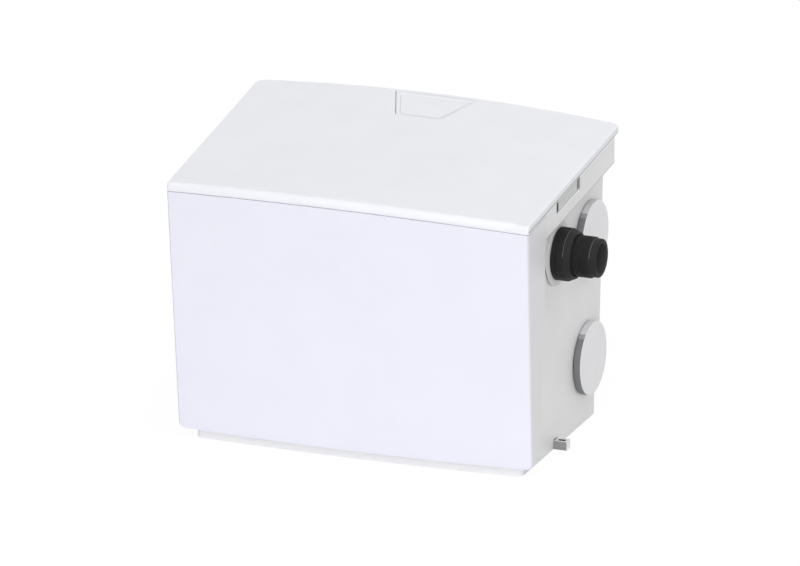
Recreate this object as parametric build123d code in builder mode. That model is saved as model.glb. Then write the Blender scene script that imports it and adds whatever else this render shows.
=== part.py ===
from build123d import *
from math import cos, radians, sin, sqrt, tan
import os

# An above-floor sewage lifting unit: a moulded tank with a clip-on front cover and a domed lid,
# two side latches, four blanking caps, a threaded discharge on the right, and a pump, a float
# switch and a flap valve inside. Lengths are in millimetres.
# The origin is on the floor, at the middle of the tank's foot. +X points to the discharge side,
# +Y to the wall behind, and +Z up.

# Clearances
running_gap = 0.05
slide_gap = 0.3
seam_gap = 1.5

# Tank
foot_half_width = 199.25
foot_front = -121.5
foot_back = 114.5
foot_corner = 10.0
back_corner = 6.5
foot_bow = 6.5
back_at_floor = foot_back + 17.9
side_draft = 0.0164
front_lean = 0.0924
tank_wall = 4.0
skirting_height = 70.0

# Lid
lid_half_width = foot_half_width + 22.4
lid_front = foot_front - 36.6
lid_back = foot_back + 27.5
lid_bow = 15.0
lid_dome = 10.0
lid_slope = 5.2
lid_edge_level = 322.9
lid_thickness = 9.5
lid_skin = 3.0
lid_skirt = 3.5
lid_front_corner = 4.0
lid_back_corner = 9.0
lid_inner_corner = 1.0
lid_edge_round = 3.0
tongue_rise = 3.2
gasket_half_width = 2.6

# Vent at the back of the lid: a shallow recess, narrower at its front, and the plate in it
vent_half_width = 50.5
vent_front_half_width = 28.0
vent_length = 62.0
vent_setback = 7.0
vent_step = 1.2
vent_corner = 5.0
vent_inner_corner = 1.5
vent_border = 5.5
vent_ledge = 6.0
vent_pad = 3.5
vent_groove_count = 5
vent_groove_width = 4.0
vent_groove_depth = 0.9
filter_box_depth = 22.0
filter_box_wall = 2.5
cassette_wall = 1.6
cassette_floor_gap = 1.0
cassette_bars = 8

# Rolled rim along both sides, under the lid
rim_half_width = foot_half_width + 18.0
rim_front = foot_front + 25.0
rim_back = foot_back + 22.5
rim_corner = 4.0
rim_depth = 34.6
rim_skin = 4.0

# Front cover
cover_half_width = foot_half_width + 17.0
cover_widening = 0.0163
cover_front = foot_front - 8.2
cover_bow = 8.7
cover_bow_growth = 0.0204
cover_return = foot_front + 12.0
cover_return_lean = 0.039
cover_wall = 3.0
cover_bottom = 13.3
cover_bottom_corner = 9.0
cover_edge_round = 3.0
cover_inner_round = 1.0
cover_return_round = 0.5
cover_clearance = 0.8
flange_thickness = 4.0
flange_setback = 2.0

# Latches
latch_middle = -17.0
latch_window = 77.0
latch_width = 67.0
latch_window_depth = 18.3
latch_leg_face = foot_half_width + 13.5
latch_plate = 3.0
latch_face = foot_half_width + 16.8
latch_pad_drop = 0.8
latch_pivot_x = latch_leg_face - 3.3
latch_pivot_depth = 27.0
latch_boss_radius = 3.4
latch_pin_radius = 2.0
latch_pin_stop = 1.0
latch_nose_reach = 2.7
latch_nose_height = 2.8
latch_rib_count = 7
latch_rib_pitch = 2.1
latch_rib_height = 0.6
latch_rib_width = 1.0
ear_thickness = 4.0

# Inlets and their blanking caps
inlet_middle = foot_back - 31.0
inlet_levels = {"lower": 78.6, "upper": lid_edge_level - 97.3}
inlet_radius = 25.0
inlet_boss_radius = 38.5
inlet_boss_reach = 5.0
inlet_sleeve_radius = 31.0
inlet_sleeve_length = 22.0
cap_radius = 43.1
cap_depth = 8.6
cap_face = 3.0
cap_plug_wall = 3.0
cap_plug_length = 6.0
cap_edge_round = 0.8
seal_groove_depth = 3.0
seal_groove_width = 6.0
seal_setback = 0.4

# Discharge, whose axis is level and runs out to the right
outlet_y = -21.5
outlet_drop = 82.9
outlet_z = lid_edge_level - outlet_drop
outlet_bore = 18.0
outlet_pad_radius = 40.0
outlet_pad_face = foot_half_width + 5.0
outlet_pad_depth = 6.0
grommet_radius = 38.0
grommet_thickness = 3.4
flange_radius = 30.9
flange_width = 5.5
tail_radius = 21.5
tail_start = outlet_pad_face - 27.0
spigot_radius = 26.9
spigot_length = 10.0
lock_nut_radius = 32.0
lock_nut_width = 7.0
lock_nut_sides = 8
nut_radius = 30.9
nut_length = 17.0
nut_cone_length = 8.0
nut_cone_radius = 27.2
nut_lip = 2.8
nut_grip_count = 12
nut_grip_radius = 3.0
nut_grip_depth = 0.7
nipple_collar_radius = 26.6
nipple_root_radius = 23.1
nipple_thread_radius = 24.15
nipple_thread_gap = 1.2
nipple_thread_length = 20.2
nipple_end_length = 7.6
nipple_end_radius = 22.6
nipple_chamfer = 1.5
o_ring_radius = 22.0
o_ring_section = 1.6

# Floor lugs
lug_y = -11.5
lug_width = 12.5
lug_reach = 16.0
lug_height = 10.0
lug_edge_round = 1.0
lug_root = 6.0
lug_root_overlap = 1.0
lug_root_height = 8.0
lug_slot_length = 9.0
lug_slot_width = 5.0
lug_pocket_height = 11.8
lug_boss_wall = 4.0

# Cable gland on the left side
gland_y = -20.0
gland_drop = 60.9
gland_z = lid_edge_level - gland_drop
gland_bore = 4.5
gland_thread_radius = 10.0
gland_sides = 6
gland_hex_radius = 13.5
gland_hex_width = 6.0
gland_dome_radius = 11.5
gland_dome_length = 18.0
gland_tip_radius = 7.5
gland_nut_width = 5.0

# Pump
pump_x = -45.0
pump_y = outlet_y
shaft_radius = 6.0
strainer_radius = 66.0
strainer_height = 26.0
strainer_wall = 3.0
strainer_slots = 16
strainer_slot_width = 7.0
strainer_slot_height = 14.0
volute_radius = 62.0
volute_height = 42.0
volute_wall = 5.0
suction_radius = 20.0
pipe_radius = 19.0
pipe_wall = 4.0
pipe_bend = 31.0
pump_port_x = 55.0
impeller_radius = 45.0
impeller_disc = 4.0
impeller_height = 16.0
impeller_hub_radius = 11.0
impeller_lift = 3.0
vane_count = 7
vane_angle = 35.0
vane_thickness = 3.0
plate_thickness = 8.0
seat_radius = 20.0
seat_height = 16.0
bearing_radius = 15.0
bearing_width = 9.0
bearing_groove_depth = 1.0
bearing_groove_half_width = 1.5
bearing_roof = 2.0
seal_radius = 11.0
housing_radius = 60.0
housing_wall = 3.0
housing_height = 128.0
stator_height = 70.0
stator_gap_radius = 33.0
rotor_gap = 0.6
rotor_lift = 8.0
shaft_end_gap = 1.0
motor_cover_height = 16.0
motor_cover_taper = 12.0
motor_cover_round = 3.0
handle_rod = 4.0
handle_half_span = 34.0
handle_rise = 28.0
screw_radius = 2.5
screw_head_radius = 4.5
screw_head_height = 3.0
screw_circle_radius = 51.0
screw_count = 4
screw_start_angle = 45.0
socket_sides = 6
pump_gland_setback = 26.0
pump_gland_radius = 9.0
pump_gland_neck_radius = 7.2
pump_gland_height = 18.0
pump_gland_taper = 8.0
sleeve_wall = 3.0
sleeve_length = 30.0
sleeve_overlap = 8.0
clamp_width = 8.0
clamp_thickness = 1.2
clamp_setback = 3.0

# Float switch
float_pivot_gap = 17.0
float_pivot_x = pump_x - housing_radius - float_pivot_gap
float_pivot_z = 158.0
float_arm = 40.0
float_rest_angle = 15.0
float_radius = 16.0
float_length = 42.0
float_rod = 3.0
float_pin_radius = 2.5
float_boss_radius = 6.0
float_boss_width = 10.0
bracket_ear = 4.0
bracket_height = 30.0

# Flap valve
valve_start = tail_start - 46.0
valve_radius = 27.0
valve_chamber_radius = 22.6
valve_seat = valve_start + 9.0
valve_bore = 15.0
valve_neck_radius = 24.0
valve_flange_width = 4.0
valve_end_wall = 3.0
riser_x = valve_start - 35.0
flap_radius = 15.8
flap_thickness = 6.0
flap_pivot_rise = 18.6
flap_pin_radius = 1.5
flap_ear_radius = 3.0
flap_ear_width = 8.0
flap_lug_width = 3.0
flap_lug_half = 2.4
flap_lug_drop = 2.2
flap_lug_overlap = 1.0

slope_cos = cos(radians(lid_slope))
slope_sin = sin(radians(lid_slope))
slope_rise = tan(radians(lid_slope))

# Reach of the solids that trim other pieces to the lid's arch, and height of the uncut blanks
trim_margin = 60.0
trim_reach = lid_half_width + trim_margin
trim_depth = lid_edge_level + lid_half_width
trim_length = lid_back - lid_front + 3 * trim_margin
blank_top = lid_edge_level + trim_margin / 2
arch_radius = (lid_half_width**2 + lid_dome**2) / (2 * lid_dome)
arch_edge = lid_dome - (arch_radius - sqrt(arch_radius**2 - trim_reach**2))
trim_y = lid_back + trim_margin
lid_plane = Plane(
    origin=(0, trim_y, lid_edge_level + trim_y * slope_rise),
    x_dir=(1, 0, 0),
    z_dir=(0, -slope_cos, -slope_sin),
)


def lid_level(y):
    """Height of the lid's lower side edge at a distance from the middle."""
    return lid_edge_level + y * slope_rise


def below_lid(height, domed=True):
    """Everything below a surface parallel to the lid, a height above the lid's lower edge."""
    edge = height + arch_edge if domed else height
    crown = height + lid_dome if domed else height
    with BuildPart() as body:
        with BuildSketch(lid_plane):
            with BuildLine():
                if domed:
                    ThreePointArc((-trim_reach, edge), (0, crown), (trim_reach, edge))
                else:
                    Line((-trim_reach, edge), (trim_reach, edge))
                Polyline(
                    (trim_reach, edge),
                    (trim_reach, -trim_depth),
                    (-trim_reach, -trim_depth),
                    (-trim_reach, edge),
                )
            make_face()
        extrude(amount=trim_length)
    return body.part


def bowed_plan(half_width, front, bow, back, front_corner, back_corner):
    """A plan with a bowed front, two straight sides and a straight back."""
    with BuildSketch(Plane.XY, mode=Mode.PRIVATE) as plan:
        with BuildLine():
            ThreePointArc((-half_width, front), (0, front - bow), (half_width, front))
            Polyline((half_width, front), (half_width, back), (-half_width, back), (-half_width, front))
        make_face()
        corners = plan.vertices().sort_by(Axis.Y)
        fillet(corners[:2], front_corner)
        fillet(plan.vertices().sort_by(Axis.Y)[-2:], back_corner)
    return plan.sketch


def tank_plan(height, inset=0.0):
    """The tank's outline at a height, moved inwards by an inset."""
    return bowed_plan(
        foot_half_width + height * side_draft - inset,
        foot_front - height * front_lean + inset,
        foot_bow,
        back_at_floor + height * side_draft - inset,
        foot_corner - inset,
        back_corner - inset,
    )


def cover_plan(height, inset=0.0):
    """The front cover's outline at a height; an inset one runs out past the open back."""
    return bowed_plan(
        cover_half_width + height * cover_widening - inset,
        cover_front - height * front_lean + inset,
        cover_bow + height * cover_bow_growth,
        cover_return + height * cover_return_lean + 4 * inset,
        cover_edge_round if inset == 0 else cover_inner_round,
        cover_return_round,
    )


def lofted(plan, low, high, inset=0.0):
    """A straight-sided body between one plan at two heights."""
    with BuildPart() as body:
        with BuildSketch(Plane.XY.offset(low)):
            add(plan(low, inset))
        with BuildSketch(Plane.XY.offset(high)):
            add(plan(high, inset))
        loft(ruled=True)
    return body.part


def side_profile(points, half_width=trim_reach):
    """A prism across the whole width, from points given as y and z."""
    with BuildPart() as body:
        with BuildSketch(Plane.YZ):
            with BuildLine():
                Polyline(*points, close=True)
            make_face()
        extrude(amount=half_width, both=True)
    return body.part


def skirting_cut(inset):
    """The space behind the foot that clears a skirting board."""
    edge = foot_back - inset
    corner = skirting_height + inset * (sqrt(2) - 1)
    far_corner = corner + trim_y - edge
    return side_profile([(edge, -trim_margin), (edge, corner), (trim_y, far_corner), (trim_y, -trim_margin)])


def save(piece, name):
    """Labels a piece and writes its STEP file."""
    piece.part.label = name
    export_step(piece.part, f"parts/{name}.step")


os.makedirs("parts", exist_ok=True)

# Trimming solids shared by the pieces under the lid
under_seam = below_lid(-seam_gap)
under_edge = below_lid(0)
under_top = below_lid(lid_thickness)
under_ceiling = below_lid(lid_thickness - lid_skin)
under_tongue = below_lid(tongue_rise)
under_gasket = below_lid(tongue_rise + slide_gap)
under_rim_roof = below_lid(-seam_gap - rim_skin, domed=False)
under_rim = below_lid(-rim_depth, domed=False)
under_window = below_lid(-latch_window_depth, domed=False)

# Inlets: where each cap sits, in front of the drafted side wall
inlet_faces = {
    level: foot_half_width + (height + cap_radius) * side_draft + slide_gap
    for level, height in inlet_levels.items()
}
sides = {"right": 1, "left": -1}

# Tank cavity, with the step over the skirting recess
cavity_body = lofted(tank_plan, tank_wall, blank_top, tank_wall)
cavity_step = skirting_cut(tank_wall)
with BuildPart() as cavity:
    add(cavity_body)
    add(cavity_step, mode=Mode.SUBTRACT)

# Vertical flanges on the tank's sides, inside the front cover's returns
flange_front = cover_return - flange_setback - flange_thickness
flange_low = cover_bottom + cover_bottom_corner
flange_high = lid_level(rim_front) - rim_depth + rim_skin
flange_strip = side_profile(
    [
        (flange_front + flange_low * cover_return_lean, flange_low),
        (flange_front + flange_thickness + flange_low * cover_return_lean, flange_low),
        (flange_front + flange_thickness + flange_high * cover_return_lean, flange_high),
        (flange_front + flange_high * cover_return_lean, flange_high),
    ]
)
cover_inside = lofted(cover_plan, 0.0, blank_top, cover_wall + slide_gap)

tank_body = lofted(tank_plan, 0.0, blank_top)
tank_flanges = flange_strip & cover_inside - cavity.part
skirting_space = skirting_cut(0.0)
latch_low = latch_middle - latch_window / 2
latch_high = latch_middle + latch_window / 2
latch_plane = Plane(
    origin=(0, latch_middle, lid_level(latch_middle)),
    x_dir=(1, 0, 0),
    z_dir=(0, -slope_cos, -slope_sin),
)
rim_inside = foot_half_width + lid_edge_level * side_draft + slide_gap
channel_bays = [
    (rim_front + rim_skin, latch_low - ear_thickness),
    (latch_low, latch_high),
    (latch_high + ear_thickness, rim_back - rim_skin),
]

# Rolled rim of one width, hollow from below except at the ears that carry the latches
with BuildPart() as rim:
    with BuildSketch(Plane.XY):
        with Locations((0, (rim_front + rim_back) / 2)):
            Rectangle(2 * rim_half_width, rim_back - rim_front)
    extrude(amount=blank_top)
    fillet(rim.edges().filter_by(Axis.Z).sort_by(Axis.Y)[-2:], rim_corner)
    add(under_seam, mode=Mode.INTERSECT)
    add(under_rim, mode=Mode.SUBTRACT)

with BuildPart() as rim_channels:
    with BuildSketch(Plane.XY):
        for side in sides.values():
            for low, high in channel_bays:
                with Locations((side * (rim_inside + rim_half_width - rim_skin) / 2, (low + high) / 2)):
                    Rectangle(rim_half_width - rim_skin - rim_inside, high - low)
    extrude(amount=blank_top)
    add(under_rim_roof, mode=Mode.INTERSECT)

with BuildPart() as latch_windows:
    with BuildSketch(Plane.XY):
        for side in sides.values():
            with Locations((side * (rim_inside + lid_half_width) / 2, latch_middle)):
                Rectangle(lid_half_width - rim_inside, latch_window)
    extrude(amount=blank_top)
    add(under_window, mode=Mode.SUBTRACT)

with BuildPart() as tank:
    add(tank_body)
    add(under_tongue, mode=Mode.INTERSECT)
    add(skirting_space, mode=Mode.SUBTRACT)
    add(rim.part)
    add(cavity.part, mode=Mode.SUBTRACT)
    add(rim_channels.part, mode=Mode.SUBTRACT)
    add(latch_windows.part, mode=Mode.SUBTRACT)
    # Holes in the ears for the latches' pins
    for side in sides.values():
        with BuildSketch(latch_plane):
            with Locations((side * latch_pivot_x, -latch_pivot_depth)):
                Circle(latch_pin_radius + running_gap)
        extrude(amount=latch_window / 2 + ear_thickness - latch_pin_stop, both=True, mode=Mode.SUBTRACT)
    # Holes for the four inlets
    for side in sides.values():
        for height in inlet_levels.values():
            with BuildSketch(Plane.YZ):
                with Locations((inlet_middle, height)):
                    Circle(inlet_sleeve_radius + running_gap)
            extrude(amount=side * trim_reach, mode=Mode.SUBTRACT)
    # Pad and hole for the discharge
    with BuildSketch(Plane.YZ.offset(outlet_pad_face - outlet_pad_depth)):
        with Locations((outlet_y, outlet_z)):
            Circle(outlet_pad_radius)
    extrude(amount=outlet_pad_depth)
    with BuildSketch(Plane.YZ.offset(outlet_pad_face - 3 * tank_wall)):
        with Locations((outlet_y, outlet_z)):
            Circle(tail_radius + slide_gap)
    extrude(amount=4 * tank_wall, mode=Mode.SUBTRACT)
    # Hole for the cable gland
    with BuildSketch(Plane.YZ.offset(-foot_half_width + tank_wall)):
        with Locations((gland_y, gland_z)):
            Circle(gland_thread_radius + slide_gap)
    extrude(amount=-4 * tank_wall, mode=Mode.SUBTRACT)
    # Flanges that carry the front cover's returns
    add(tank_flanges)
    # Bosses and pockets for the floor lugs
    for side in sides.values():
        with BuildSketch(Plane.XY):
            with Locations((side * (foot_half_width - (lug_root + lug_boss_wall) / 2), lug_y)):
                Rectangle(lug_root + lug_boss_wall, lug_width + 2 * lug_boss_wall)
        extrude(amount=lug_pocket_height + lug_boss_wall)
    for side in sides.values():
        with BuildSketch(Plane.XY):
            with Locations((side * foot_half_width, lug_y)):
                Rectangle(2 * (lug_root + slide_gap), lug_width + 2 * slide_gap)
        extrude(amount=lug_pocket_height, mode=Mode.SUBTRACT)
save(tank, "tank")

# Front cover: a bowed tray, open at the back, with its bottom corners rounded in elevation
with BuildPart() as cover_outline:
    with BuildSketch(Plane.XZ) as outline:
        with BuildLine():
            Polyline(
                (-cover_half_width - cover_bottom * cover_widening, cover_bottom),
                (cover_half_width + cover_bottom * cover_widening, cover_bottom),
                (cover_half_width + blank_top * cover_widening, blank_top),
                (-cover_half_width - blank_top * cover_widening, blank_top),
                close=True,
            )
        make_face()
        fillet(outline.vertices().sort_by(Axis.Y)[:2], cover_bottom_corner)
    extrude(amount=trim_reach, both=True)
with BuildPart() as cover_hollow_outline:
    with BuildSketch(Plane.XZ):
        add(offset(outline.sketch, -cover_wall))
    extrude(amount=trim_reach, both=True)
cover_body = lofted(cover_plan, 0.0, blank_top)
cover_hollow = lofted(cover_plan, 0.0, blank_top, cover_wall)
tank_space = lofted(tank_plan, 0.0, blank_top, -cover_clearance)
cover_space = cover_hollow & cover_hollow_outline.part
with BuildPart() as front_cover:
    add(cover_body)
    add(cover_outline.part, mode=Mode.INTERSECT)
    add(under_seam, mode=Mode.INTERSECT)
    add(cover_space, mode=Mode.SUBTRACT)
    add(tank_space, mode=Mode.SUBTRACT)
save(front_cover, "front_cover")

# Lid: a domed plate with a skirt, a rolled front edge and a stepped vent recess at the back
lid_pocket_plan = bowed_plan(
    lid_half_width - lid_skirt, lid_front + lid_skirt, lid_bow, lid_back - lid_skirt, lid_inner_corner,
    lid_back_corner - lid_skirt,
)
with BuildPart() as lid_pocket:
    with BuildSketch(Plane.XY):
        add(lid_pocket_plan)
    extrude(amount=blank_top + trim_margin)
    add(under_ceiling, mode=Mode.INTERSECT)
vent_back = lid_back - vent_setback
vent_front = vent_back - vent_length
vent_lean = (vent_half_width - vent_front_half_width) / vent_length
seat_level = lid_thickness - lid_skin
plate_level = lid_thickness - vent_step


def vent_plan(inset):
    """The vent's outline in plan, moved inwards by an inset."""
    shift = inset * sqrt(1 + vent_lean**2)
    back = vent_half_width - inset * vent_lean - shift
    front = vent_front_half_width + inset * vent_lean - shift
    with BuildSketch(Plane.XY, mode=Mode.PRIVATE) as plan:
        with BuildLine():
            Polyline(
                (-back, vent_back - inset),
                (-front, vent_front + inset),
                (front, vent_front + inset),
                (back, vent_back - inset),
                close=True,
            )
        make_face()
        fillet(plan.vertices(), max(vent_corner - inset, vent_inner_corner))
    return plan.sketch


def vent_prism(inset, low, high):
    """A slab of the vent's plan, between two levels parallel to the lid."""
    roof = below_lid(high)
    floor = below_lid(low)
    with BuildPart() as body:
        with BuildSketch(Plane.XY):
            add(vent_plan(inset))
        extrude(amount=blank_top + trim_margin)
        add(roof, mode=Mode.INTERSECT)
        add(floor, mode=Mode.SUBTRACT)
    return body.part


above_lid = lid_thickness + lid_dome
box_inset = vent_border + vent_ledge
vent_recess = vent_prism(0, plate_level, above_lid)
vent_seat = vent_prism(vent_border, seat_level, above_lid)
vent_backing = vent_prism(vent_border - filter_box_wall, seat_level - vent_pad, seat_level)
filter_box = vent_prism(box_inset - filter_box_wall, -filter_box_depth, seat_level)
vent_window = vent_prism(box_inset, -2 * filter_box_depth, above_lid)
with BuildPart() as lid:
    with BuildSketch(Plane.XY):
        add(bowed_plan(lid_half_width, lid_front, lid_bow, lid_back, lid_front_corner, lid_back_corner))
    extrude(amount=blank_top + trim_margin)
    add(under_top, mode=Mode.INTERSECT)
    add(under_edge, mode=Mode.SUBTRACT)
    crown = lid.faces().sort_by(Axis.Z)[-1]
    fillet(crown.edges(), lid_edge_round)
    add(lid_pocket.part, mode=Mode.SUBTRACT)
    add(vent_backing)
    add(filter_box)
    add(vent_recess, mode=Mode.SUBTRACT)
    add(vent_seat, mode=Mode.SUBTRACT)
    add(vent_window, mode=Mode.SUBTRACT)
save(lid, "lid")

# Gasket under the lid, over the tank's upright edge
gasket_middle = tank_wall / 2
with BuildPart() as lid_gasket:
    with BuildSketch(Plane.XY):
        add(tank_plan(lid_edge_level, gasket_middle - gasket_half_width))
        add(tank_plan(lid_edge_level, gasket_middle + gasket_half_width), mode=Mode.SUBTRACT)
    extrude(amount=blank_top + trim_margin)
    add(under_ceiling, mode=Mode.INTERSECT)
    add(under_gasket, mode=Mode.SUBTRACT)
save(lid_gasket, "lid_gasket")

# Vent cover: a plate in the lid's recess, with grooves under it that let the air out at its back
vent_plate = vent_prism(vent_border + slide_gap, seat_level, plate_level)
groove_slab = vent_prism(vent_border, seat_level, seat_level + vent_groove_depth)
groove_pitch = 2 * (vent_half_width - 2 * box_inset) / vent_groove_count
with BuildPart() as vent_grooves:
    with BuildSketch(Plane.XY):
        with Locations((0, vent_back - box_inset)):
            with GridLocations(groove_pitch, 1, vent_groove_count, 1):
                Rectangle(vent_groove_width, 2 * box_inset)
    extrude(amount=blank_top + trim_margin)
    add(groove_slab, mode=Mode.INTERSECT)
with BuildPart() as vent_cover:
    add(vent_plate)
    add(vent_grooves.part, mode=Mode.SUBTRACT)
save(vent_cover, "vent_cover")

# Filter cassette hanging in the lid's box, with a barred bottom, and its carbon block
cassette_inset = box_inset + slide_gap
cassette_low = cassette_floor_gap - filter_box_depth
cassette_floor = cassette_low + cassette_wall
cassette_body = vent_prism(cassette_inset, cassette_low, seat_level)
cassette_hollow = vent_prism(cassette_inset + cassette_wall, cassette_floor, above_lid)
cassette_span = 2 * (vent_front_half_width - box_inset)
cassette_depth = vent_length - 2 * (cassette_inset + 2 * cassette_wall)
with BuildPart() as filter_cassette:
    add(cassette_body)
    add(cassette_hollow, mode=Mode.SUBTRACT)
    with BuildSketch(Plane.XY):
        with Locations((0, (vent_front + vent_back) / 2)):
            with GridLocations(cassette_span / cassette_bars, 1, cassette_bars, 1):
                Rectangle(cassette_span / cassette_bars - cassette_wall, cassette_depth)
    extrude(amount=blank_top + trim_margin, mode=Mode.SUBTRACT)
save(filter_cassette, "filter_cassette")
carbon_block = vent_prism(cassette_inset + cassette_wall, cassette_floor, seat_level - cassette_wall)
with BuildPart() as carbon_filter:
    add(carbon_block)
save(carbon_filter, "carbon_filter")

# Latches: a ribbed plate that tips in about its lower pins to let go of the lid
for side_name, side in sides.items():
    with BuildPart() as latch:
        with BuildSketch(latch_plane):
            with BuildLine():
                Polyline(
                    (side * (latch_leg_face - latch_plate), -latch_pivot_depth),
                    (side * latch_leg_face, -latch_pivot_depth),
                    (side * latch_leg_face, slide_gap - latch_window_depth),
                    (side * latch_face, slide_gap - latch_window_depth),
                    (side * latch_face, -latch_pad_drop),
                    (side * latch_leg_face, -latch_pad_drop),
                    (side * latch_leg_face, latch_nose_height - latch_plate / 2),
                    (side * (latch_leg_face + latch_nose_reach), latch_nose_height - latch_plate / 4),
                    (side * (latch_leg_face + latch_nose_reach), latch_nose_height),
                    (side * (latch_leg_face - latch_plate), latch_nose_height),
                    close=True,
                )
            make_face()
            with Locations((side * latch_pivot_x, -latch_pivot_depth)):
                Circle(latch_boss_radius)
            for rib in range(latch_rib_count):
                level = -latch_window_depth + latch_rib_pitch * (rib + 1)
                with Locations((side * latch_face, level)):
                    Rectangle(2 * latch_rib_height, latch_rib_width)
        extrude(amount=latch_width / 2, both=True)
        with BuildSketch(latch_plane):
            with Locations((side * latch_pivot_x, -latch_pivot_depth)):
                Circle(latch_pin_radius)
        extrude(amount=latch_window / 2 + ear_thickness - latch_pin_stop - slide_gap, both=True)
    save(latch, f"{side_name}_latch")

# Blanking caps, each a shallow cup over its inlet's boss with a plug in the bore
for side_name, side in sides.items():
    for level, height in inlet_levels.items():
        back = inlet_faces[level] + slide_gap
        with BuildPart() as cap:
            with BuildSketch(Plane.YZ.offset(side * back)):
                with Locations((inlet_middle, height)):
                    Circle(cap_radius)
            extrude(amount=side * cap_depth)
            front_rim = cap.faces().sort_by(Axis.X)[-1 if side > 0 else 0]
            fillet(front_rim.edges(), cap_edge_round)
            with BuildSketch(Plane.YZ.offset(side * back)):
                with Locations((inlet_middle, height)):
                    Circle(inlet_boss_radius + slide_gap)
            extrude(amount=side * (cap_depth - cap_face), mode=Mode.SUBTRACT)
            with BuildSketch(Plane.YZ.offset(side * (back - cap_plug_length))):
                with Locations((inlet_middle, height)):
                    Circle(inlet_radius - 2 * running_gap)
                    Circle(inlet_radius - cap_plug_wall, mode=Mode.SUBTRACT)
            extrude(amount=side * (cap_plug_length + cap_depth - cap_face))
        save(cap, f"{side_name}_{level}_cap")

# Inlet sockets: a flange against the drafted wall, and a sleeve with a groove for its lip seal
for side_name, side in sides.items():
    for level, height in inlet_levels.items():
        boss_face = side * (inlet_faces[level] + inlet_boss_reach)
        groove_start = side * (inlet_faces[level] - tank_wall) - seal_groove_width / 2
        with BuildPart() as inlet:
            with BuildSketch(Plane.YZ.offset(boss_face)):
                with Locations((inlet_middle, height)):
                    Circle(inlet_boss_radius)
            extrude(amount=-side * (inlet_boss_reach + tank_wall))
            add(tank_body, mode=Mode.SUBTRACT)
            with BuildSketch(Plane.YZ.offset(boss_face)):
                with Locations((inlet_middle, height)):
                    Circle(inlet_sleeve_radius)
            extrude(amount=-side * (inlet_boss_reach + tank_wall + inlet_sleeve_length))
            with BuildSketch(Plane.YZ.offset(boss_face)):
                with Locations((inlet_middle, height)):
                    Circle(inlet_radius)
            extrude(amount=-side * trim_margin, mode=Mode.SUBTRACT)
            with BuildSketch(Plane.YZ.offset(groove_start)):
                with Locations((inlet_middle, height)):
                    Circle(inlet_radius + seal_groove_depth)
            extrude(amount=seal_groove_width, mode=Mode.SUBTRACT)
        save(inlet, f"{side_name}_{level}_inlet")

# Lip seals in the grooves of the four inlets
with BuildPart() as inlet_seals:
    for side in sides.values():
        for level, height in inlet_levels.items():
            groove_start = side * (inlet_faces[level] - tank_wall) - seal_groove_width / 2
            with BuildSketch(Plane.YZ.offset(groove_start)):
                with Locations((inlet_middle, height)):
                    Circle(inlet_radius + seal_groove_depth)
                    Circle(inlet_radius + seal_setback, mode=Mode.SUBTRACT)
            extrude(amount=seal_groove_width)
save(inlet_seals, "inlet_seals")

# Discharge: grommet, bulkhead flange with its tail, lock nut, seal, union nut and threaded nipple
outlet_axis = Plane(origin=(0, outlet_y, outlet_z), x_dir=(1, 0, 0), z_dir=(0, -1, 0))
outlet_line = Axis((0, outlet_y, outlet_z), (1, 0, 0))
flange_face = outlet_pad_face + grommet_thickness
spigot_start = flange_face + flange_width
spigot_end = spigot_start + spigot_length

with BuildPart() as outlet_grommet:
    with BuildSketch(Plane.YZ.offset(outlet_pad_face)):
        with Locations((outlet_y, outlet_z)):
            Circle(grommet_radius)
            Circle(tail_radius + slide_gap, mode=Mode.SUBTRACT)
    extrude(amount=grommet_thickness)
    grommet_rim = outlet_grommet.faces().sort_by(Axis.X)[-1].edges().sort_by(SortBy.RADIUS)[-1]
    fillet(grommet_rim, grommet_thickness / 3)
save(outlet_grommet, "outlet_grommet")

with BuildPart() as outlet_flange:
    with BuildSketch(outlet_axis):
        with BuildLine():
            Polyline(
                (tail_start, outlet_bore),
                (tail_start, tail_radius),
                (flange_face, tail_radius),
                (flange_face, flange_radius),
                (spigot_start, flange_radius),
                (spigot_start, spigot_radius),
                (spigot_end, spigot_radius),
                (spigot_end, outlet_bore),
                close=True,
            )
        make_face()
    revolve(axis=outlet_line)
save(outlet_flange, "outlet_flange")

with BuildPart() as outlet_lock_nut:
    with BuildSketch(Plane.YZ.offset(outlet_pad_face - outlet_pad_depth - lock_nut_width)):
        with Locations((outlet_y, outlet_z)):
            RegularPolygon(lock_nut_radius, lock_nut_sides)
            Circle(tail_radius + running_gap, mode=Mode.SUBTRACT)
    extrude(amount=lock_nut_width)
save(outlet_lock_nut, "outlet_lock_nut")

nut_start = spigot_start + slide_gap
nut_end = nut_start + nut_length
nipple_start = spigot_end + o_ring_section
with BuildPart() as union_nut:
    with BuildSketch(outlet_axis):
        with BuildLine():
            Polyline(
                (nut_start, spigot_radius + 2 * running_gap),
                (nut_start, nut_radius),
                (nut_end - nut_cone_length, nut_radius),
                (nut_end, nut_cone_radius),
                (nut_end, nipple_thread_radius + slide_gap),
                (nut_end - nut_lip, nipple_thread_radius + slide_gap),
                (nut_end - nut_lip, spigot_radius + 2 * running_gap),
                close=True,
            )
        make_face()
    revolve(axis=outlet_line)
    # Shallow finger grooves round the nut
    with BuildSketch(Plane.YZ.offset(nut_start)):
        with Locations((outlet_y, outlet_z)):
            with PolarLocations(nut_radius + nut_grip_radius - nut_grip_depth, nut_grip_count):
                Circle(nut_grip_radius)
    extrude(amount=nut_length, mode=Mode.SUBTRACT)
save(union_nut, "union_nut")

with BuildPart() as outlet_o_ring:
    with BuildSketch(outlet_axis):
        with Locations((spigot_end + o_ring_section / 2, o_ring_radius)):
            Circle(o_ring_section / 2)
    revolve(axis=outlet_line)
save(outlet_o_ring, "outlet_o_ring")

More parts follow.
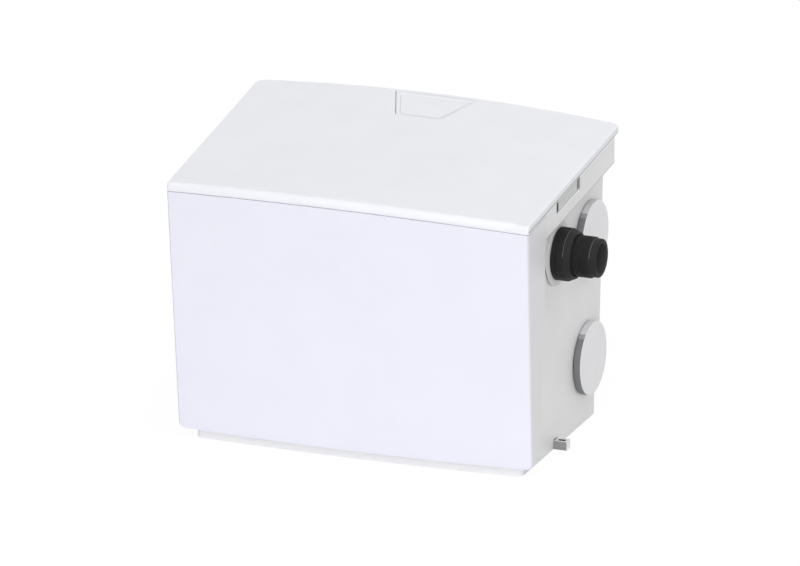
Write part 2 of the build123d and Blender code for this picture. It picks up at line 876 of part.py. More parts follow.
# The nipple's thread is a plain cylinder of its outer radius
collar_limit = nut_end - nut_lip - slide_gap
thread_start = nut_end + nipple_thread_gap
thread_end = thread_start + nipple_thread_length
nipple_end = thread_end + nipple_end_length
with BuildPart() as outlet_nipple:
    with BuildSketch(outlet_axis):
        with BuildLine():
            Polyline(
                (nipple_start, outlet_bore),
                (nipple_start, nipple_collar_radius),
                (collar_limit, nipple_collar_radius),
                (collar_limit, nipple_root_radius),
                (thread_start, nipple_root_radius),
                (thread_start, nipple_thread_radius),
                (thread_end, nipple_thread_radius),
                (thread_end, nipple_end_radius),
                (nipple_end - nipple_chamfer, nipple_end_radius),
                (nipple_end, nipple_end_radius - nipple_chamfer),
                (nipple_end, outlet_bore),
                close=True,
            )
        make_face()
    revolve(axis=outlet_line)
save(outlet_nipple, "outlet_nipple")

# Floor lugs: a slotted block outside the foot, with a root in the tank's pocket
lug_start = foot_half_width + slide_gap
for side_name, side in sides.items():
    with BuildPart() as lug:
        with BuildSketch(Plane.XY):
            with Locations((side * (lug_start + lug_reach / 2), lug_y)):
                Rectangle(lug_reach, lug_width)
        extrude(amount=lug_height)
        outer_edges = lug.edges().filter_by(Axis.Z).sort_by(Axis.X, reverse=side < 0)[-2:]
        fillet(outer_edges, lug_edge_round)
        with BuildSketch(Plane.XY):
            with Locations((side * (lug_start + (lug_root_overlap - lug_root) / 2), lug_y)):
                Rectangle(lug_root + lug_root_overlap, lug_width)
        extrude(amount=lug_root_height)
        with BuildSketch(Plane.XY):
            with Locations((side * (lug_start + lug_reach / 2), lug_y)):
                SlotOverall(lug_slot_length, lug_slot_width)
        extrude(amount=lug_height, mode=Mode.SUBTRACT)
    save(lug, f"{side_name}_floor_lug")

# Cable gland on the left side, with its lock nut inside the tank
gland_face = -(foot_half_width + (gland_z + gland_hex_radius) * side_draft)
gland_inner = gland_face + tank_wall + 2 * slide_gap
with BuildPart() as cable_gland:
    with BuildSketch(Plane.YZ.offset(gland_face)):
        with Locations((gland_y, gland_z)):
            RegularPolygon(gland_hex_radius, gland_sides)
    extrude(amount=-gland_hex_width)
    with BuildSketch(Plane.YZ.offset(gland_face - gland_hex_width)):
        with Locations((gland_y, gland_z)):
            Circle(gland_dome_radius)
    with BuildSketch(Plane.YZ.offset(gland_face - gland_hex_width - gland_dome_length)):
        with Locations((gland_y, gland_z)):
            Circle(gland_tip_radius)
    loft()
    with BuildSketch(Plane.YZ.offset(gland_face)):
        with Locations((gland_y, gland_z)):
            Circle(gland_thread_radius)
    extrude(amount=tank_wall + 3 * gland_nut_width)
    with BuildSketch(Plane.YZ.offset(gland_face + tank_wall + 3 * gland_nut_width)):
        with Locations((gland_y, gland_z)):
            Circle(gland_bore)
    extrude(amount=-trim_margin, mode=Mode.SUBTRACT)
save(cable_gland, "cable_gland")

with BuildPart() as gland_lock_nut:
    with BuildSketch(Plane.YZ.offset(gland_inner)):
        with Locations((gland_y, gland_z)):
            RegularPolygon(gland_hex_radius, gland_sides)
            Circle(gland_thread_radius + running_gap, mode=Mode.SUBTRACT)
    extrude(amount=gland_nut_width)
save(gland_lock_nut, "gland_lock_nut")

# Pump, from its strainer up
floor_top = tank_wall
strainer_top = floor_top + strainer_height
pump_port_z = strainer_top + volute_height / 2
volute_top = strainer_top + volute_height
plate_top = volute_top + plate_thickness
housing_top = plate_top + housing_height
with BuildPart() as pump_strainer:
    with BuildSketch(Plane.XY.offset(floor_top)):
        with Locations((pump_x, pump_y)):
            Circle(strainer_radius)
            Circle(strainer_radius - strainer_wall, mode=Mode.SUBTRACT)
    extrude(amount=strainer_height)
    with BuildSketch(Plane.XY.offset(strainer_top - strainer_wall)):
        with Locations((pump_x, pump_y)):
            Circle(strainer_radius - strainer_wall / 2)
            Circle(2 * suction_radius, mode=Mode.SUBTRACT)
    extrude(amount=strainer_wall)
    with BuildSketch(Plane.XY.offset(floor_top)):
        with Locations((pump_x, pump_y)):
            with PolarLocations(strainer_radius, strainer_slots):
                Rectangle(4 * strainer_wall, strainer_slot_width)
    extrude(amount=strainer_slot_height, mode=Mode.SUBTRACT)
save(pump_strainer, "pump_strainer")

with BuildPart() as pump_volute:
    with BuildSketch(Plane.XY.offset(strainer_top)):
        with Locations((pump_x, pump_y)):
            Circle(volute_radius)
    extrude(amount=volute_height)
    with BuildSketch(Plane.YZ.offset(pump_x)):
        with Locations((pump_y, pump_port_z)):
            Circle(pipe_radius)
    extrude(amount=pump_port_x - pump_x)
    with BuildSketch(Plane.XY.offset(strainer_top + volute_wall)):
        with Locations((pump_x, pump_y)):
            Circle(volute_radius - volute_wall)
    extrude(amount=volute_height, mode=Mode.SUBTRACT)
    with BuildSketch(Plane.XY.offset(strainer_top)):
        with Locations((pump_x, pump_y)):
            Circle(suction_radius)
    extrude(amount=volute_height, mode=Mode.SUBTRACT)
    with BuildSketch(Plane.YZ.offset(pump_x)):
        with Locations((pump_y, pump_port_z)):
            Circle(pipe_radius - pipe_wall)
    extrude(amount=pump_port_x - pump_x, mode=Mode.SUBTRACT)
save(pump_volute, "pump_volute")

# Impeller: a back plate with curved vanes under it
impeller_low = strainer_top + volute_wall + impeller_lift
impeller_high = impeller_low + impeller_height
with BuildPart() as impeller:
    with BuildSketch(Plane.XY.offset(impeller_high - impeller_disc)):
        with Locations((pump_x, pump_y)):
            Circle(impeller_radius)
    extrude(amount=impeller_disc)
    with BuildSketch(Plane.XY.offset(impeller_low)):
        with Locations((pump_x, pump_y)):
            Circle(impeller_hub_radius)
            with PolarLocations((impeller_hub_radius + impeller_radius) / 2, vane_count):
                with Locations(Rotation(0, 0, vane_angle)):
                    Rectangle(impeller_radius - impeller_hub_radius, vane_thickness)
    extrude(amount=impeller_height - impeller_disc)
    with BuildSketch(Plane.XY.offset(impeller_low)):
        with Locations((pump_x, pump_y)):
            Circle(shaft_radius)
    extrude(amount=impeller_height, mode=Mode.SUBTRACT)
save(impeller, "impeller")

rotor_low = plate_top + seat_height + rotor_lift
bearing_low = plate_top + seat_height - bearing_width
cover_bearing_high = housing_top - bearing_roof
shaft_top = housing_top - shaft_end_gap
with BuildPart() as pump_shaft:
    with BuildSketch(Plane.XY.offset(impeller_low)):
        with Locations((pump_x, pump_y)):
            Circle(shaft_radius)
    extrude(amount=shaft_top - impeller_low)
save(pump_shaft, "pump_shaft")

with BuildPart() as bearing_plate:
    with BuildSketch(Plane.XY.offset(volute_top)):
        with Locations((pump_x, pump_y)):
            Circle(volute_radius)
    extrude(amount=plate_thickness)
    with BuildSketch(Plane.XY.offset(plate_top)):
        with Locations((pump_x, pump_y)):
            Circle(seat_radius)
    extrude(amount=seat_height)
    with BuildSketch(Plane.XY.offset(volute_top)):
        with Locations((pump_x, pump_y)):
            Circle(seal_radius)
    extrude(amount=trim_margin, mode=Mode.SUBTRACT)
    with BuildSketch(Plane.XY.offset(bearing_low)):
        with Locations((pump_x, pump_y)):
            Circle(bearing_radius)
    extrude(amount=bearing_width, mode=Mode.SUBTRACT)
save(bearing_plate, "bearing_plate")

with BuildPart() as shaft_seal:
    with BuildSketch(Plane.XY.offset(volute_top)):
        with Locations((pump_x, pump_y)):
            Circle(seal_radius)
            Circle(shaft_radius + running_gap, mode=Mode.SUBTRACT)
    extrude(amount=bearing_low - volute_top)
save(shaft_seal, "shaft_seal")

bearings = {"lower_bearing": bearing_low, "upper_bearing": cover_bearing_high - bearing_width}
for bearing_name, low in bearings.items():
    with BuildPart() as bearing:
        with BuildSketch(Plane.XY.offset(low)):
            with Locations((pump_x, pump_y)):
                Circle(bearing_radius)
                Circle(shaft_radius + running_gap, mode=Mode.SUBTRACT)
        extrude(amount=bearing_width)
        groove = (bearing_radius + shaft_radius) / 2
        with BuildSketch(Plane.XY.offset(low + bearing_width - bearing_groove_depth)):
            with Locations((pump_x, pump_y)):
                Circle(groove + bearing_groove_half_width)
                Circle(groove - bearing_groove_half_width, mode=Mode.SUBTRACT)
        extrude(amount=bearing_groove_depth, mode=Mode.SUBTRACT)
    save(bearing, bearing_name)

with BuildPart() as motor_housing:
    with BuildSketch(Plane.XY.offset(plate_top)):
        with Locations((pump_x, pump_y)):
            Circle(housing_radius)
            Circle(housing_radius - housing_wall, mode=Mode.SUBTRACT)
    extrude(amount=housing_height)
save(motor_housing, "motor_housing")

with BuildPart() as motor_stator:
    with BuildSketch(Plane.XY.offset(rotor_low)):
        with Locations((pump_x, pump_y)):
            Circle(housing_radius - housing_wall - running_gap)
            Circle(stator_gap_radius, mode=Mode.SUBTRACT)
    extrude(amount=stator_height)
save(motor_stator, "motor_stator")

with BuildPart() as motor_rotor:
    with BuildSketch(Plane.XY.offset(rotor_low)):
        with Locations((pump_x, pump_y)):
            Circle(stator_gap_radius - rotor_gap)
            Circle(shaft_radius, mode=Mode.SUBTRACT)
    extrude(amount=stator_height)
save(motor_rotor, "motor_rotor")

# Motor cover, with a seat for the upper bearing below and four ribs above
cover_plate = housing_top + motor_cover_height / 2
with BuildPart() as motor_cover:
    with BuildSketch(Plane.XY.offset(housing_top)):
        with Locations((pump_x, pump_y)):
            Circle(housing_radius)
    extrude(amount=motor_cover_height, taper=motor_cover_taper)
    with BuildSketch(Plane.XY.offset(cover_bearing_high - bearing_width)):
        with Locations((pump_x, pump_y)):
            Circle(seat_radius)
    extrude(amount=housing_top - cover_bearing_high + bearing_width)
    with BuildSketch(Plane.XY.offset(cover_bearing_high - bearing_width)):
        with Locations((pump_x, pump_y)):
            Circle(bearing_radius)
    extrude(amount=bearing_width, mode=Mode.SUBTRACT)
    with BuildSketch(Plane.XY.offset(cover_bearing_high)):
        with Locations((pump_x, pump_y)):
            Circle(shaft_radius + slide_gap)
    extrude(amount=housing_top - cover_bearing_high, mode=Mode.SUBTRACT)
    fillet(motor_cover.faces().sort_by(Axis.Z)[-1].edges(), motor_cover_round)
    with BuildSketch(Plane.XY.offset(housing_top + motor_cover_height / 2)):
        with Locations((pump_x, pump_y)):
            with PolarLocations(screw_circle_radius, screw_count, start_angle=screw_start_angle):
                Circle(screw_head_radius + slide_gap)
    extrude(amount=motor_cover_height, mode=Mode.SUBTRACT)
save(motor_cover, "motor_cover")

with BuildPart() as pump_screws:
    with BuildSketch(Plane.XY.offset(cover_plate)):
        with Locations((pump_x, pump_y)):
            with PolarLocations(screw_circle_radius, screw_count, start_angle=screw_start_angle):
                Circle(screw_head_radius)
    extrude(amount=screw_head_height)
    with BuildSketch(Plane.XY.offset(cover_plate + screw_head_height)):
        with Locations((pump_x, pump_y)):
            with PolarLocations(screw_circle_radius, screw_count, start_angle=screw_start_angle):
                RegularPolygon(screw_radius, socket_sides)
    extrude(amount=-2 * screw_head_height / 3, mode=Mode.SUBTRACT)
save(pump_screws, "pump_screws")

cover_top = housing_top + motor_cover_height
with BuildPart() as pump_handle:
    with BuildLine() as handle_path:
        FilletPolyline(
            (pump_x, pump_y - handle_half_span, cover_top),
            (pump_x, pump_y - handle_half_span, cover_top + handle_rise),
            (pump_x, pump_y + handle_half_span, cover_top + handle_rise),
            (pump_x, pump_y + handle_half_span, cover_top),
            radius=3 * handle_rod,
        )
    with BuildSketch(Plane.XY.offset(cover_top)):
        with Locations((pump_x, pump_y - handle_half_span)):
            Circle(handle_rod)
    sweep(path=handle_path.line)
save(pump_handle, "pump_handle")

pump_gland_x = pump_x + housing_radius - pump_gland_setback
with BuildPart() as pump_gland:
    with BuildSketch(Plane.XY.offset(cover_top)):
        with Locations((pump_gland_x, pump_y)):
            RegularPolygon(pump_gland_radius, gland_sides)
    extrude(amount=pump_gland_height / 3)
    with BuildSketch(Plane.XY.offset(cover_top + pump_gland_height / 3)):
        with Locations((pump_gland_x, pump_y)):
            Circle(pump_gland_neck_radius)
    extrude(amount=2 * pump_gland_height / 3, taper=pump_gland_taper)
    with BuildSketch(Plane.XY.offset(cover_top + pump_gland_height / 3)):
        with Locations((pump_gland_x, pump_y)):
            Circle(gland_bore)
    extrude(amount=pump_gland_height, mode=Mode.SUBTRACT)
save(pump_gland, "pump_gland")

# Pressure pipe from the pump's port up to the flap valve, with a rubber sleeve and two clamps
with BuildPart() as pressure_pipe:
    with BuildLine() as pipe_path:
        FilletPolyline(
            (pump_port_x, outlet_y, pump_port_z),
            (riser_x, outlet_y, pump_port_z),
            (riser_x, outlet_y, outlet_z),
            (valve_start, outlet_y, outlet_z),
            radius=pipe_bend,
        )
    with BuildSketch(Plane.YZ.offset(pump_port_x)):
        with Locations((outlet_y, pump_port_z)):
            Circle(pipe_radius)
            Circle(pipe_radius - pipe_wall, mode=Mode.SUBTRACT)
    sweep(path=pipe_path.line)
save(pressure_pipe, "pressure_pipe")

sleeve_end = pump_port_x + sleeve_overlap
sleeve_start = sleeve_end - sleeve_length
with BuildPart() as pipe_sleeve:
    with BuildSketch(Plane.YZ.offset(sleeve_start)):
        with Locations((outlet_y, pump_port_z)):
            Circle(pipe_radius + running_gap + sleeve_wall)
            Circle(pipe_radius + running_gap, mode=Mode.SUBTRACT)
    extrude(amount=sleeve_length)
save(pipe_sleeve, "pipe_sleeve")

with BuildPart() as sleeve_clamps:
    for start in (sleeve_start + clamp_setback, sleeve_end - clamp_width - clamp_setback):
        with BuildSketch(Plane.YZ.offset(start)):
            with Locations((outlet_y, pump_port_z)):
                Circle(pipe_radius + 2 * running_gap + sleeve_wall + clamp_thickness)
                Circle(pipe_radius + 2 * running_gap + sleeve_wall, mode=Mode.SUBTRACT)
        extrude(amount=clamp_width)
save(sleeve_clamps, "sleeve_clamps")

# Flap valve: body with its seat, flap and pin
pivot_x = valve_seat + slide_gap + flap_ear_radius
pivot_z = outlet_z + flap_pivot_rise
with BuildPart() as valve_body:
    with BuildSketch(outlet_axis):
        with BuildLine():
            Polyline(
                (valve_start, valve_bore),
                (valve_start, valve_neck_radius),
                (valve_start + valve_flange_width, valve_radius),
                (tail_start, valve_radius),
                (tail_start, outlet_bore),
                (tail_start - valve_end_wall, outlet_bore),
                (tail_start - valve_end_wall, valve_chamber_radius),
                (valve_seat, valve_chamber_radius),
                (valve_seat, valve_bore),
                close=True,
            )
        make_face()
    revolve(axis=outlet_line)
    with BuildSketch(Plane.XY.offset(pivot_z - flap_lug_drop)):
        for ear in (-1, 1):
            offset_y = ear * (flap_ear_width / 2 + slide_gap + flap_lug_width / 2)
            with Locations((pivot_x, outlet_y + offset_y)):
                Rectangle(2 * flap_lug_half, flap_lug_width)
    extrude(amount=valve_chamber_radius - flap_pivot_rise + flap_lug_drop + flap_lug_overlap)
    with BuildSketch(Plane.XZ.offset(-outlet_y)):
        with Locations((pivot_x, pivot_z)):
            Circle(flap_pin_radius)
    extrude(amount=flap_ear_width / 2 + slide_gap + flap_lug_width, both=True, mode=Mode.SUBTRACT)
save(valve_body, "valve_body")

with BuildPart() as valve_flap:
    with BuildSketch(Plane.YZ.offset(valve_seat + slide_gap)):
        with Locations((outlet_y, outlet_z)):
            Circle(flap_radius)
    extrude(amount=flap_thickness)
    with BuildSketch(Plane.XZ.offset(-outlet_y)):
        with Locations((pivot_x, pivot_z)):
            Circle(flap_ear_radius)
        with Locations((valve_seat + slide_gap + flap_thickness / 2, pivot_z - flap_ear_radius)):
            Rectangle(flap_thickness, 2 * flap_ear_radius)
    extrude(amount=flap_ear_width / 2, both=True)
    with BuildSketch(Plane.XZ.offset(-outlet_y)):
        with Locations((pivot_x, pivot_z)):
            Circle(flap_pin_radius + running_gap)
    extrude(amount=flap_ear_width, both=True, mode=Mode.SUBTRACT)
save(valve_flap, "valve_flap")

with BuildPart() as flap_pin:
    with BuildSketch(Plane.XZ.offset(-outlet_y)):
        with Locations((pivot_x, pivot_z)):
            Circle(flap_pin_radius)
    extrude(amount=flap_ear_width / 2 + slide_gap + flap_lug_width, both=True)
save(flap_pin, "flap_pin")

# Float switch: a bracket on the motor housing, a pin, a rod and a float
bracket_start = pump_x - housing_radius
ear_reach = bracket_start - float_pivot_x + float_boss_radius
ear_gap = float_boss_width / 2 + slide_gap
housing_core = Cylinder(
    housing_radius + running_gap, 4 * bracket_height, mode=Mode.PRIVATE
).moved(Location((pump_x, pump_y, float_pivot_z)))
with BuildPart() as float_bracket:
    with BuildSketch(Plane.XY.offset(float_pivot_z - bracket_height / 2)):
        with Locations((bracket_start, pump_y)):
            Rectangle(2 * float_boss_radius, 2 * (ear_gap + bracket_ear))
        for ear in (-1, 1):
            with Locations((bracket_start - ear_reach / 2, pump_y + ear * (ear_gap + bracket_ear / 2))):
                Rectangle(ear_reach, bracket_ear)
    extrude(amount=bracket_height)
    add(housing_core, mode=Mode.SUBTRACT)
    with BuildSketch(Plane.XZ.offset(-pump_y)):
        with Locations((float_pivot_x, float_pivot_z)):
            Circle(float_pin_radius)
    extrude(amount=ear_gap + bracket_ear, both=True, mode=Mode.SUBTRACT)
save(float_bracket, "float_bracket")

with BuildPart() as float_pin:
    with BuildSketch(Plane.XZ.offset(-pump_y)):
        with Locations((float_pivot_x, float_pivot_z)):
            Circle(float_pin_radius)
    extrude(amount=ear_gap + bracket_ear, both=True)
save(float_pin, "float_pin")

float_x = float_pivot_x - float_arm * sin(radians(float_rest_angle))
float_z = float_pivot_z - float_arm * cos(radians(float_rest_angle))
arm_plane = Plane(
    origin=(float_pivot_x, pump_y, float_pivot_z),
    x_dir=(0, 1, 0),
    z_dir=(-sin(radians(float_rest_angle)), 0, -cos(radians(float_rest_angle))),
)
with BuildPart() as float_lever:
    with BuildSketch(Plane.XZ.offset(-pump_y)):
        with Locations((float_pivot_x, float_pivot_z)):
            Circle(float_boss_radius)
    extrude(amount=float_boss_width / 2, both=True)
    with BuildSketch(arm_plane):
        Circle(float_rod)
    extrude(amount=float_arm - float_radius / 2)
    with BuildSketch(Plane.XZ.offset(-pump_y)):
        with Locations((float_pivot_x, float_pivot_z)):
            Circle(float_pin_radius + running_gap)
    extrude(amount=float_boss_width, both=True, mode=Mode.SUBTRACT)
save(float_lever, "float_lever")

with BuildPart() as float_ball:
    with BuildSketch(Plane.XZ.offset(-pump_y)):
        with Locations((float_x, float_z)):
            Circle(float_radius)
    extrude(amount=float_length / 2, both=True)
    fillet(float_ball.edges().filter_by(GeomType.CIRCLE), float_radius / 2)
    add(float_lever.part, mode=Mode.SUBTRACT)
save(float_ball, "float_ball")
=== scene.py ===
"""Looks of an above-floor sewage lifting unit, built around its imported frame.

Lengths are in metres, but the sizes of the zones and of the scene's own pieces are in
millimetres, as their docstrings say. The origin is on the floor at the middle of the tank's foot,
+X points to the discharge side, +Y to the wall behind and +Z up.
"""

import logging
import math
from dataclasses import dataclass
from enum import Enum

import bmesh
import bpy
import numpy as np
from mathutils import Euler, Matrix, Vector


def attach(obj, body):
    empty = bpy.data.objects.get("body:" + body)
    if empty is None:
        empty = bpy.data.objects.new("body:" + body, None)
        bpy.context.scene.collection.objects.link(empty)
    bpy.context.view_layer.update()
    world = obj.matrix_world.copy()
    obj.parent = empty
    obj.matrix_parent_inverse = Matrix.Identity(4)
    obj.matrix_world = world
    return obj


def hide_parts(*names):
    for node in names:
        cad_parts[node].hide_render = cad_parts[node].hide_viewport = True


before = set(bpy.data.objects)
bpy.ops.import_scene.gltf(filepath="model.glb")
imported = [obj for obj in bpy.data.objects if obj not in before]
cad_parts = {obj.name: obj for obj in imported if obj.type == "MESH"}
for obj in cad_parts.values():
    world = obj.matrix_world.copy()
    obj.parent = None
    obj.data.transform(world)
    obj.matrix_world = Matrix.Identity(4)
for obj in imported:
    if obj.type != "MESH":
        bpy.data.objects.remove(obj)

LOG = logging.getLogger("lifting_unit")
MM = 0.001
TAU = 2 * math.pi

Tree = bpy.types.NodeTree
Socket = bpy.types.NodeSocket
Triple = tuple[float, float, float]

# Points closer than this are one, and faces that meet at more than these angles keep their edge
WELD = 0.002 * MM
CREASE = math.radians(28)
PIECE_CREASE = math.radians(35)

# Sockets of a colour's mix node
MIX_FACTOR, MIX_FIRST, MIX_SECOND, MIX_RESULT = 0, 6, 7, 2

# The part of a noise's range that a drift of colour uses, and the octaves of the two noises
NOISE_LOW, NOISE_HIGH = 0.3, 0.7
DRIFT_DETAIL, GRAIN_DETAIL = 3.0, 2.0

# Measures that the solids have too, in millimetres and radians
LID_ANGLE = math.radians(5.2)
SLOPE = math.tan(LID_ANGLE)
FOOT_HALF_WIDTH = 199.25
SIDE_DRAFT = 0.0164
SLIDE_GAP = 0.3
PAD_FACE = 204.25
OUTLET_CENTRE = (-21.5, 240.0)
CAP_RADIUS = 43.1
CAP_HEIGHTS = {"lower": 78.6, "upper": 225.6}


class Finish(Enum):
    """The finishes that the unit's pieces are given."""

    TANK = "tank_polypropylene"
    LID = "lid_polypropylene"
    COVER = "cover_abs"
    CAP_FACE = "cap_face_polypropylene"
    CAP_RIM = "cap_rim_polypropylene"
    LATCH = "latch_polypropylene"
    LUG = "lug_polyamide"
    BLACK = "glass_filled_polyamide"
    GREY = "pipe_polyvinyl_chloride"
    RUBBER = "nitrile_rubber"
    PALE_RUBBER = "white_silicone"
    CARBON = "pressed_carbon"
    STAINLESS = "brushed_stainless"
    GROUND = "ground_steel"
    LAMINATION = "varnished_laminations"
    FLOAT = "float_polyethylene"


def linear(colour: str) -> tuple[float, float, float, float]:
    """Turns an sRGB hex colour into a linear one.

    Args:
        colour: Six hex digits after a hash.

    Returns:
        Red, green, blue and an alpha of one.
    """
    parts = np.array([int(colour[k : k + 2], 16) for k in (1, 3, 5)]) / 255
    flat = np.where(parts <= 0.04045, parts / 12.92, ((parts + 0.055) / 1.055) ** 2.4)
    return (*(float(part) for part in flat), 1.0)


def add_node(
    tree: Tree, kind: str, settings: dict | None = None, links: dict | None = None
) -> bpy.types.Node:
    """Adds a node to a tree, with its settings and its incoming links.

    Args:
        tree: The node tree.
        kind: The node's type name.
        settings: Attribute names, input names or input numbers, with their values.
        links: Input names or numbers, with the output sockets that feed them.

    Returns:
        The new node.
    """
    node = tree.nodes.new(kind)
    for name, value in (settings or {}).items():
        if isinstance(name, int) or name in node.inputs:
            node.inputs[name].default_value = value
        else:
            setattr(node, name, value)
    for name, socket in (links or {}).items():
        tree.links.new(socket, node.inputs[name])
    return node


def maths(tree: Tree, operation: str, *feeds: Socket | float) -> Socket:
    """Adds a node that works on numbers.

    Args:
        tree: The node tree.
        operation: What it does.
        feeds: Its inputs in order, each a socket or a number.

    Returns:
        The socket with the result.
    """
    links = {k: feed for k, feed in enumerate(feeds) if isinstance(feed, Socket)}
    numbers = {k: feed for k, feed in enumerate(feeds) if k not in links}
    node = add_node(tree, "ShaderNodeMath", {"operation": operation, **numbers}, links)
    return node.outputs[0]


def vector_maths(
    tree: Tree, operation: str, feed: Socket, constant: Triple = (0.0, 0.0, 0.0)
) -> bpy.types.Node:
    """Adds a node that works on a vector.

    Args:
        tree: The node tree.
        operation: What it does.
        feed: The vector.
        constant: A fixed second vector, for operations that take two.

    Returns:
        The node, whose result is a vector or a number.
    """
    settings = {"operation": operation, 1: constant}
    return add_node(tree, "ShaderNodeVectorMath", settings, {0: feed})


@dataclass(frozen=True)
class Slab:
    """A flat layer of space: where x |X| + y Y + z Z lies within half of middle, in millimetres.

    A layer that isn't mirrored takes X as it is.
    """

    direction: Triple
    middle: float
    half: float
    mirrored: bool = True

    def mask(self, tree: Tree, spot: Socket) -> Socket:
        """Adds the nodes that tell this layer from the rest.

        Args:
            tree: The node tree to add to.
            spot: Object coordinates.

        Returns:
            A socket that is one inside the layer.
        """
        if self.mirrored:
            axes = add_node(tree, "ShaderNodeSeparateXYZ", links={0: spot}).outputs
            folds = {0: maths(tree, "ABSOLUTE", axes[0]), 1: axes[1], 2: axes[2]}
            spot = add_node(tree, "ShaderNodeCombineXYZ", links=folds).outputs[0]
        level = vector_maths(tree, "DOT_PRODUCT", spot, self.direction).outputs["Value"]
        return maths(tree, "COMPARE", level, self.middle * MM, self.half * MM)


@dataclass(frozen=True)
class Core:
    """A round bar of space along X, within radius of an axis at a y and a z, in millimetres."""

    centre: tuple[float, float]
    radius: float

    def mask(self, tree: Tree, spot: Socket) -> Socket:
        """Adds the nodes that tell this bar from the rest.

        Args:
            tree: The node tree to add to.
            spot: Object coordinates.

        Returns:
            A socket that is one inside the bar.
        """
        axis = (0.0, self.centre[0] * MM, self.centre[1] * MM)
        away = vector_maths(tree, "SUBTRACT", spot, axis).outputs[0]
        across = vector_maths(tree, "MULTIPLY", away, (0.0, 1.0, 1.0)).outputs[0]
        length = vector_maths(tree, "LENGTH", across).outputs["Value"]
        return maths(tree, "LESS_THAN", length, self.radius * MM)


@dataclass(frozen=True)
class Zone:
    """A part of a piece with a shade of its own: what several layers have in common."""

    shade: str
    slabs: tuple[Slab | Core, ...]

    def mask(self, tree: Tree, spot: Socket) -> Socket:
        """Adds the nodes that tell the zone from the rest.

        Args:
            tree: The node tree to add to.
            spot: Object coordinates.

        Returns:
            A socket that is one inside the zone.
        """
        mask = self.slabs[0].mask(tree, spot)
        for slab in self.slabs[1:]:
            mask = maths(tree, "MULTIPLY", mask, slab.mask(tree, spot))
        return mask


@dataclass(frozen=True)
class Moulding:
    """A moulded or machined surface: its colour, its sheen, and the grain of its tool.

    The colour drifts slowly between two shades, the sheen drifts with it, and a fine grain breaks
    up the highlights.
    """

    shade: str
    drift: str
    roughness: float
    roughness_drift: float = 0.06
    metallic: float = 0.0
    ior: float = 1.49
    grain_size: float = 0.7 * MM
    grain_depth: float = 0.012 * MM
    drift_size: float = 60 * MM
    specular: float = 0.5
    stretch: Triple = (1.0, 1.0, 1.0)
    zones: tuple[Zone, ...] = ()

    def colour(self, tree: Tree, spot: Socket, drift: Socket) -> Socket:
        """Adds the nodes that mix the two shades and lay the zones over them.

        Args:
            tree: The node tree to add to.
            spot: Object coordinates.
            drift: The slow noise.

        Returns:
            The socket with the colour.
        """
        span = {"From Min": NOISE_LOW, "From Max": NOISE_HIGH}
        share = add_node(tree, "ShaderNodeMapRange", span, {"Value": drift}).outputs["Result"]
        shades = {MIX_FIRST: linear(self.shade), MIX_SECOND: linear(self.drift)}
        tint = add_node(
            tree, "ShaderNodeMix", {"data_type": "RGBA", **shades}, {MIX_FACTOR: share}
        )
        for zone in self.zones:
            tint = add_node(
                tree,
                "ShaderNodeMix",
                {"data_type": "RGBA", MIX_SECOND: linear(zone.shade)},
                {MIX_FACTOR: zone.mask(tree, spot), MIX_FIRST: tint.outputs[MIX_RESULT]},
            )
        return tint.outputs[MIX_RESULT]

    def build(self, name: str) -> bpy.types.Material:
        """Makes the material.

        Args:
            name: The material's name.

        Returns:
            The material.
        """
        material = bpy.data.materials.new(name)
        material.use_nodes = True
        tree = material.node_tree
        tree.nodes.clear()
        place = add_node(tree, "ShaderNodeTexCoord").outputs["Object"]
        spot = add_node(
            tree, "ShaderNodeMapping", {"Scale": self.stretch}, {"Vector": place}
        ).outputs["Vector"]
        slow, fine = (
            add_node(
                tree, "ShaderNodeTexNoise", {"Scale": 1 / size, "Detail": detail}, {"Vector": spot}
            ).outputs["Fac"]
            for size, detail in (
                (self.drift_size, DRIFT_DETAIL),
                (self.grain_size, GRAIN_DETAIL),
            )
        )
        sheen = add_node(
            tree,
            "ShaderNodeMapRange",
            {
                "To Min": self.roughness - self.roughness_drift,
                "To Max": self.roughness + self.roughness_drift,
            },
            {"Value": slow},
        )
        bump = add_node(
            tree,
            "ShaderNodeBump",
            {"Strength": 1.0, "Distance": self.grain_depth},
            {"Height": fine},
        )
        shader = add_node(
            tree,
            "ShaderNodeBsdfPrincipled",
            {"Metallic": self.metallic, "IOR": self.ior, "Specular IOR Level": self.specular},
            {
                "Base Color": self.colour(tree, place, slow),
                "Roughness": sheen.outputs["Result"],
                "Normal": bump.outputs["Normal"],
            },
        )
        add_node(tree, "ShaderNodeOutputMaterial", links={"Surface": shader.outputs["BSDF"]})
        return material


# Directions of layers; the last is the height over the lid's sloping plane
SIDEWAYS = (1.0, 0.0, 0.0)
FORWARD = (0.0, -1.0, 0.0)
BACKWARD = (0.0, 1.0, 0.0)
UPWARD = (0.0, 0.0, 1.0)
DOWNWARD = (0.0, 0.0, -1.0)
OFF_LID = (0.0, -SLOPE, 1.0)

# Half of the thickness of a layer that reaches to the far end of everything, in millimetres
FAR = 1000.0


def past(direction: Triple, limit: float) -> Slab:
    """Gives the layer of all that lies past a limit, in millimetres."""
    return Slab(direction, limit + FAR, FAR)


RIM_SIDES = past(SIDEWAYS, limit=217.0)
LID_SIDES = past(SIDEWAYS, limit=220.9)
FITTING = past(SIDEWAYS, limit=205.0)
UPPER_HALF = past(UPWARD, limit=246.0)

# Painted shade in a line just above the foot of the rim, and painted highlights on the rim's
# rounded upper edge, which catches the light, and on the ledge below each latch
RIM_FOOT_SHADOW_LINE = Zone("#B4B4B6", (Slab(OFF_LID, middle=288.7, half=0.55), RIM_SIDES))
RIM_EDGE_HIGHLIGHT = Zone("#F8F8F9", (Slab(OFF_LID, middle=318.0, half=0.8), RIM_SIDES))
LATCH_LEDGE_HIGHLIGHT = Zone(
    "#F8F8F9",
    (Slab(OFF_LID, middle=304.0, half=0.7), RIM_SIDES, Slab(BACKWARD, middle=-17.0, half=36.0)),
)
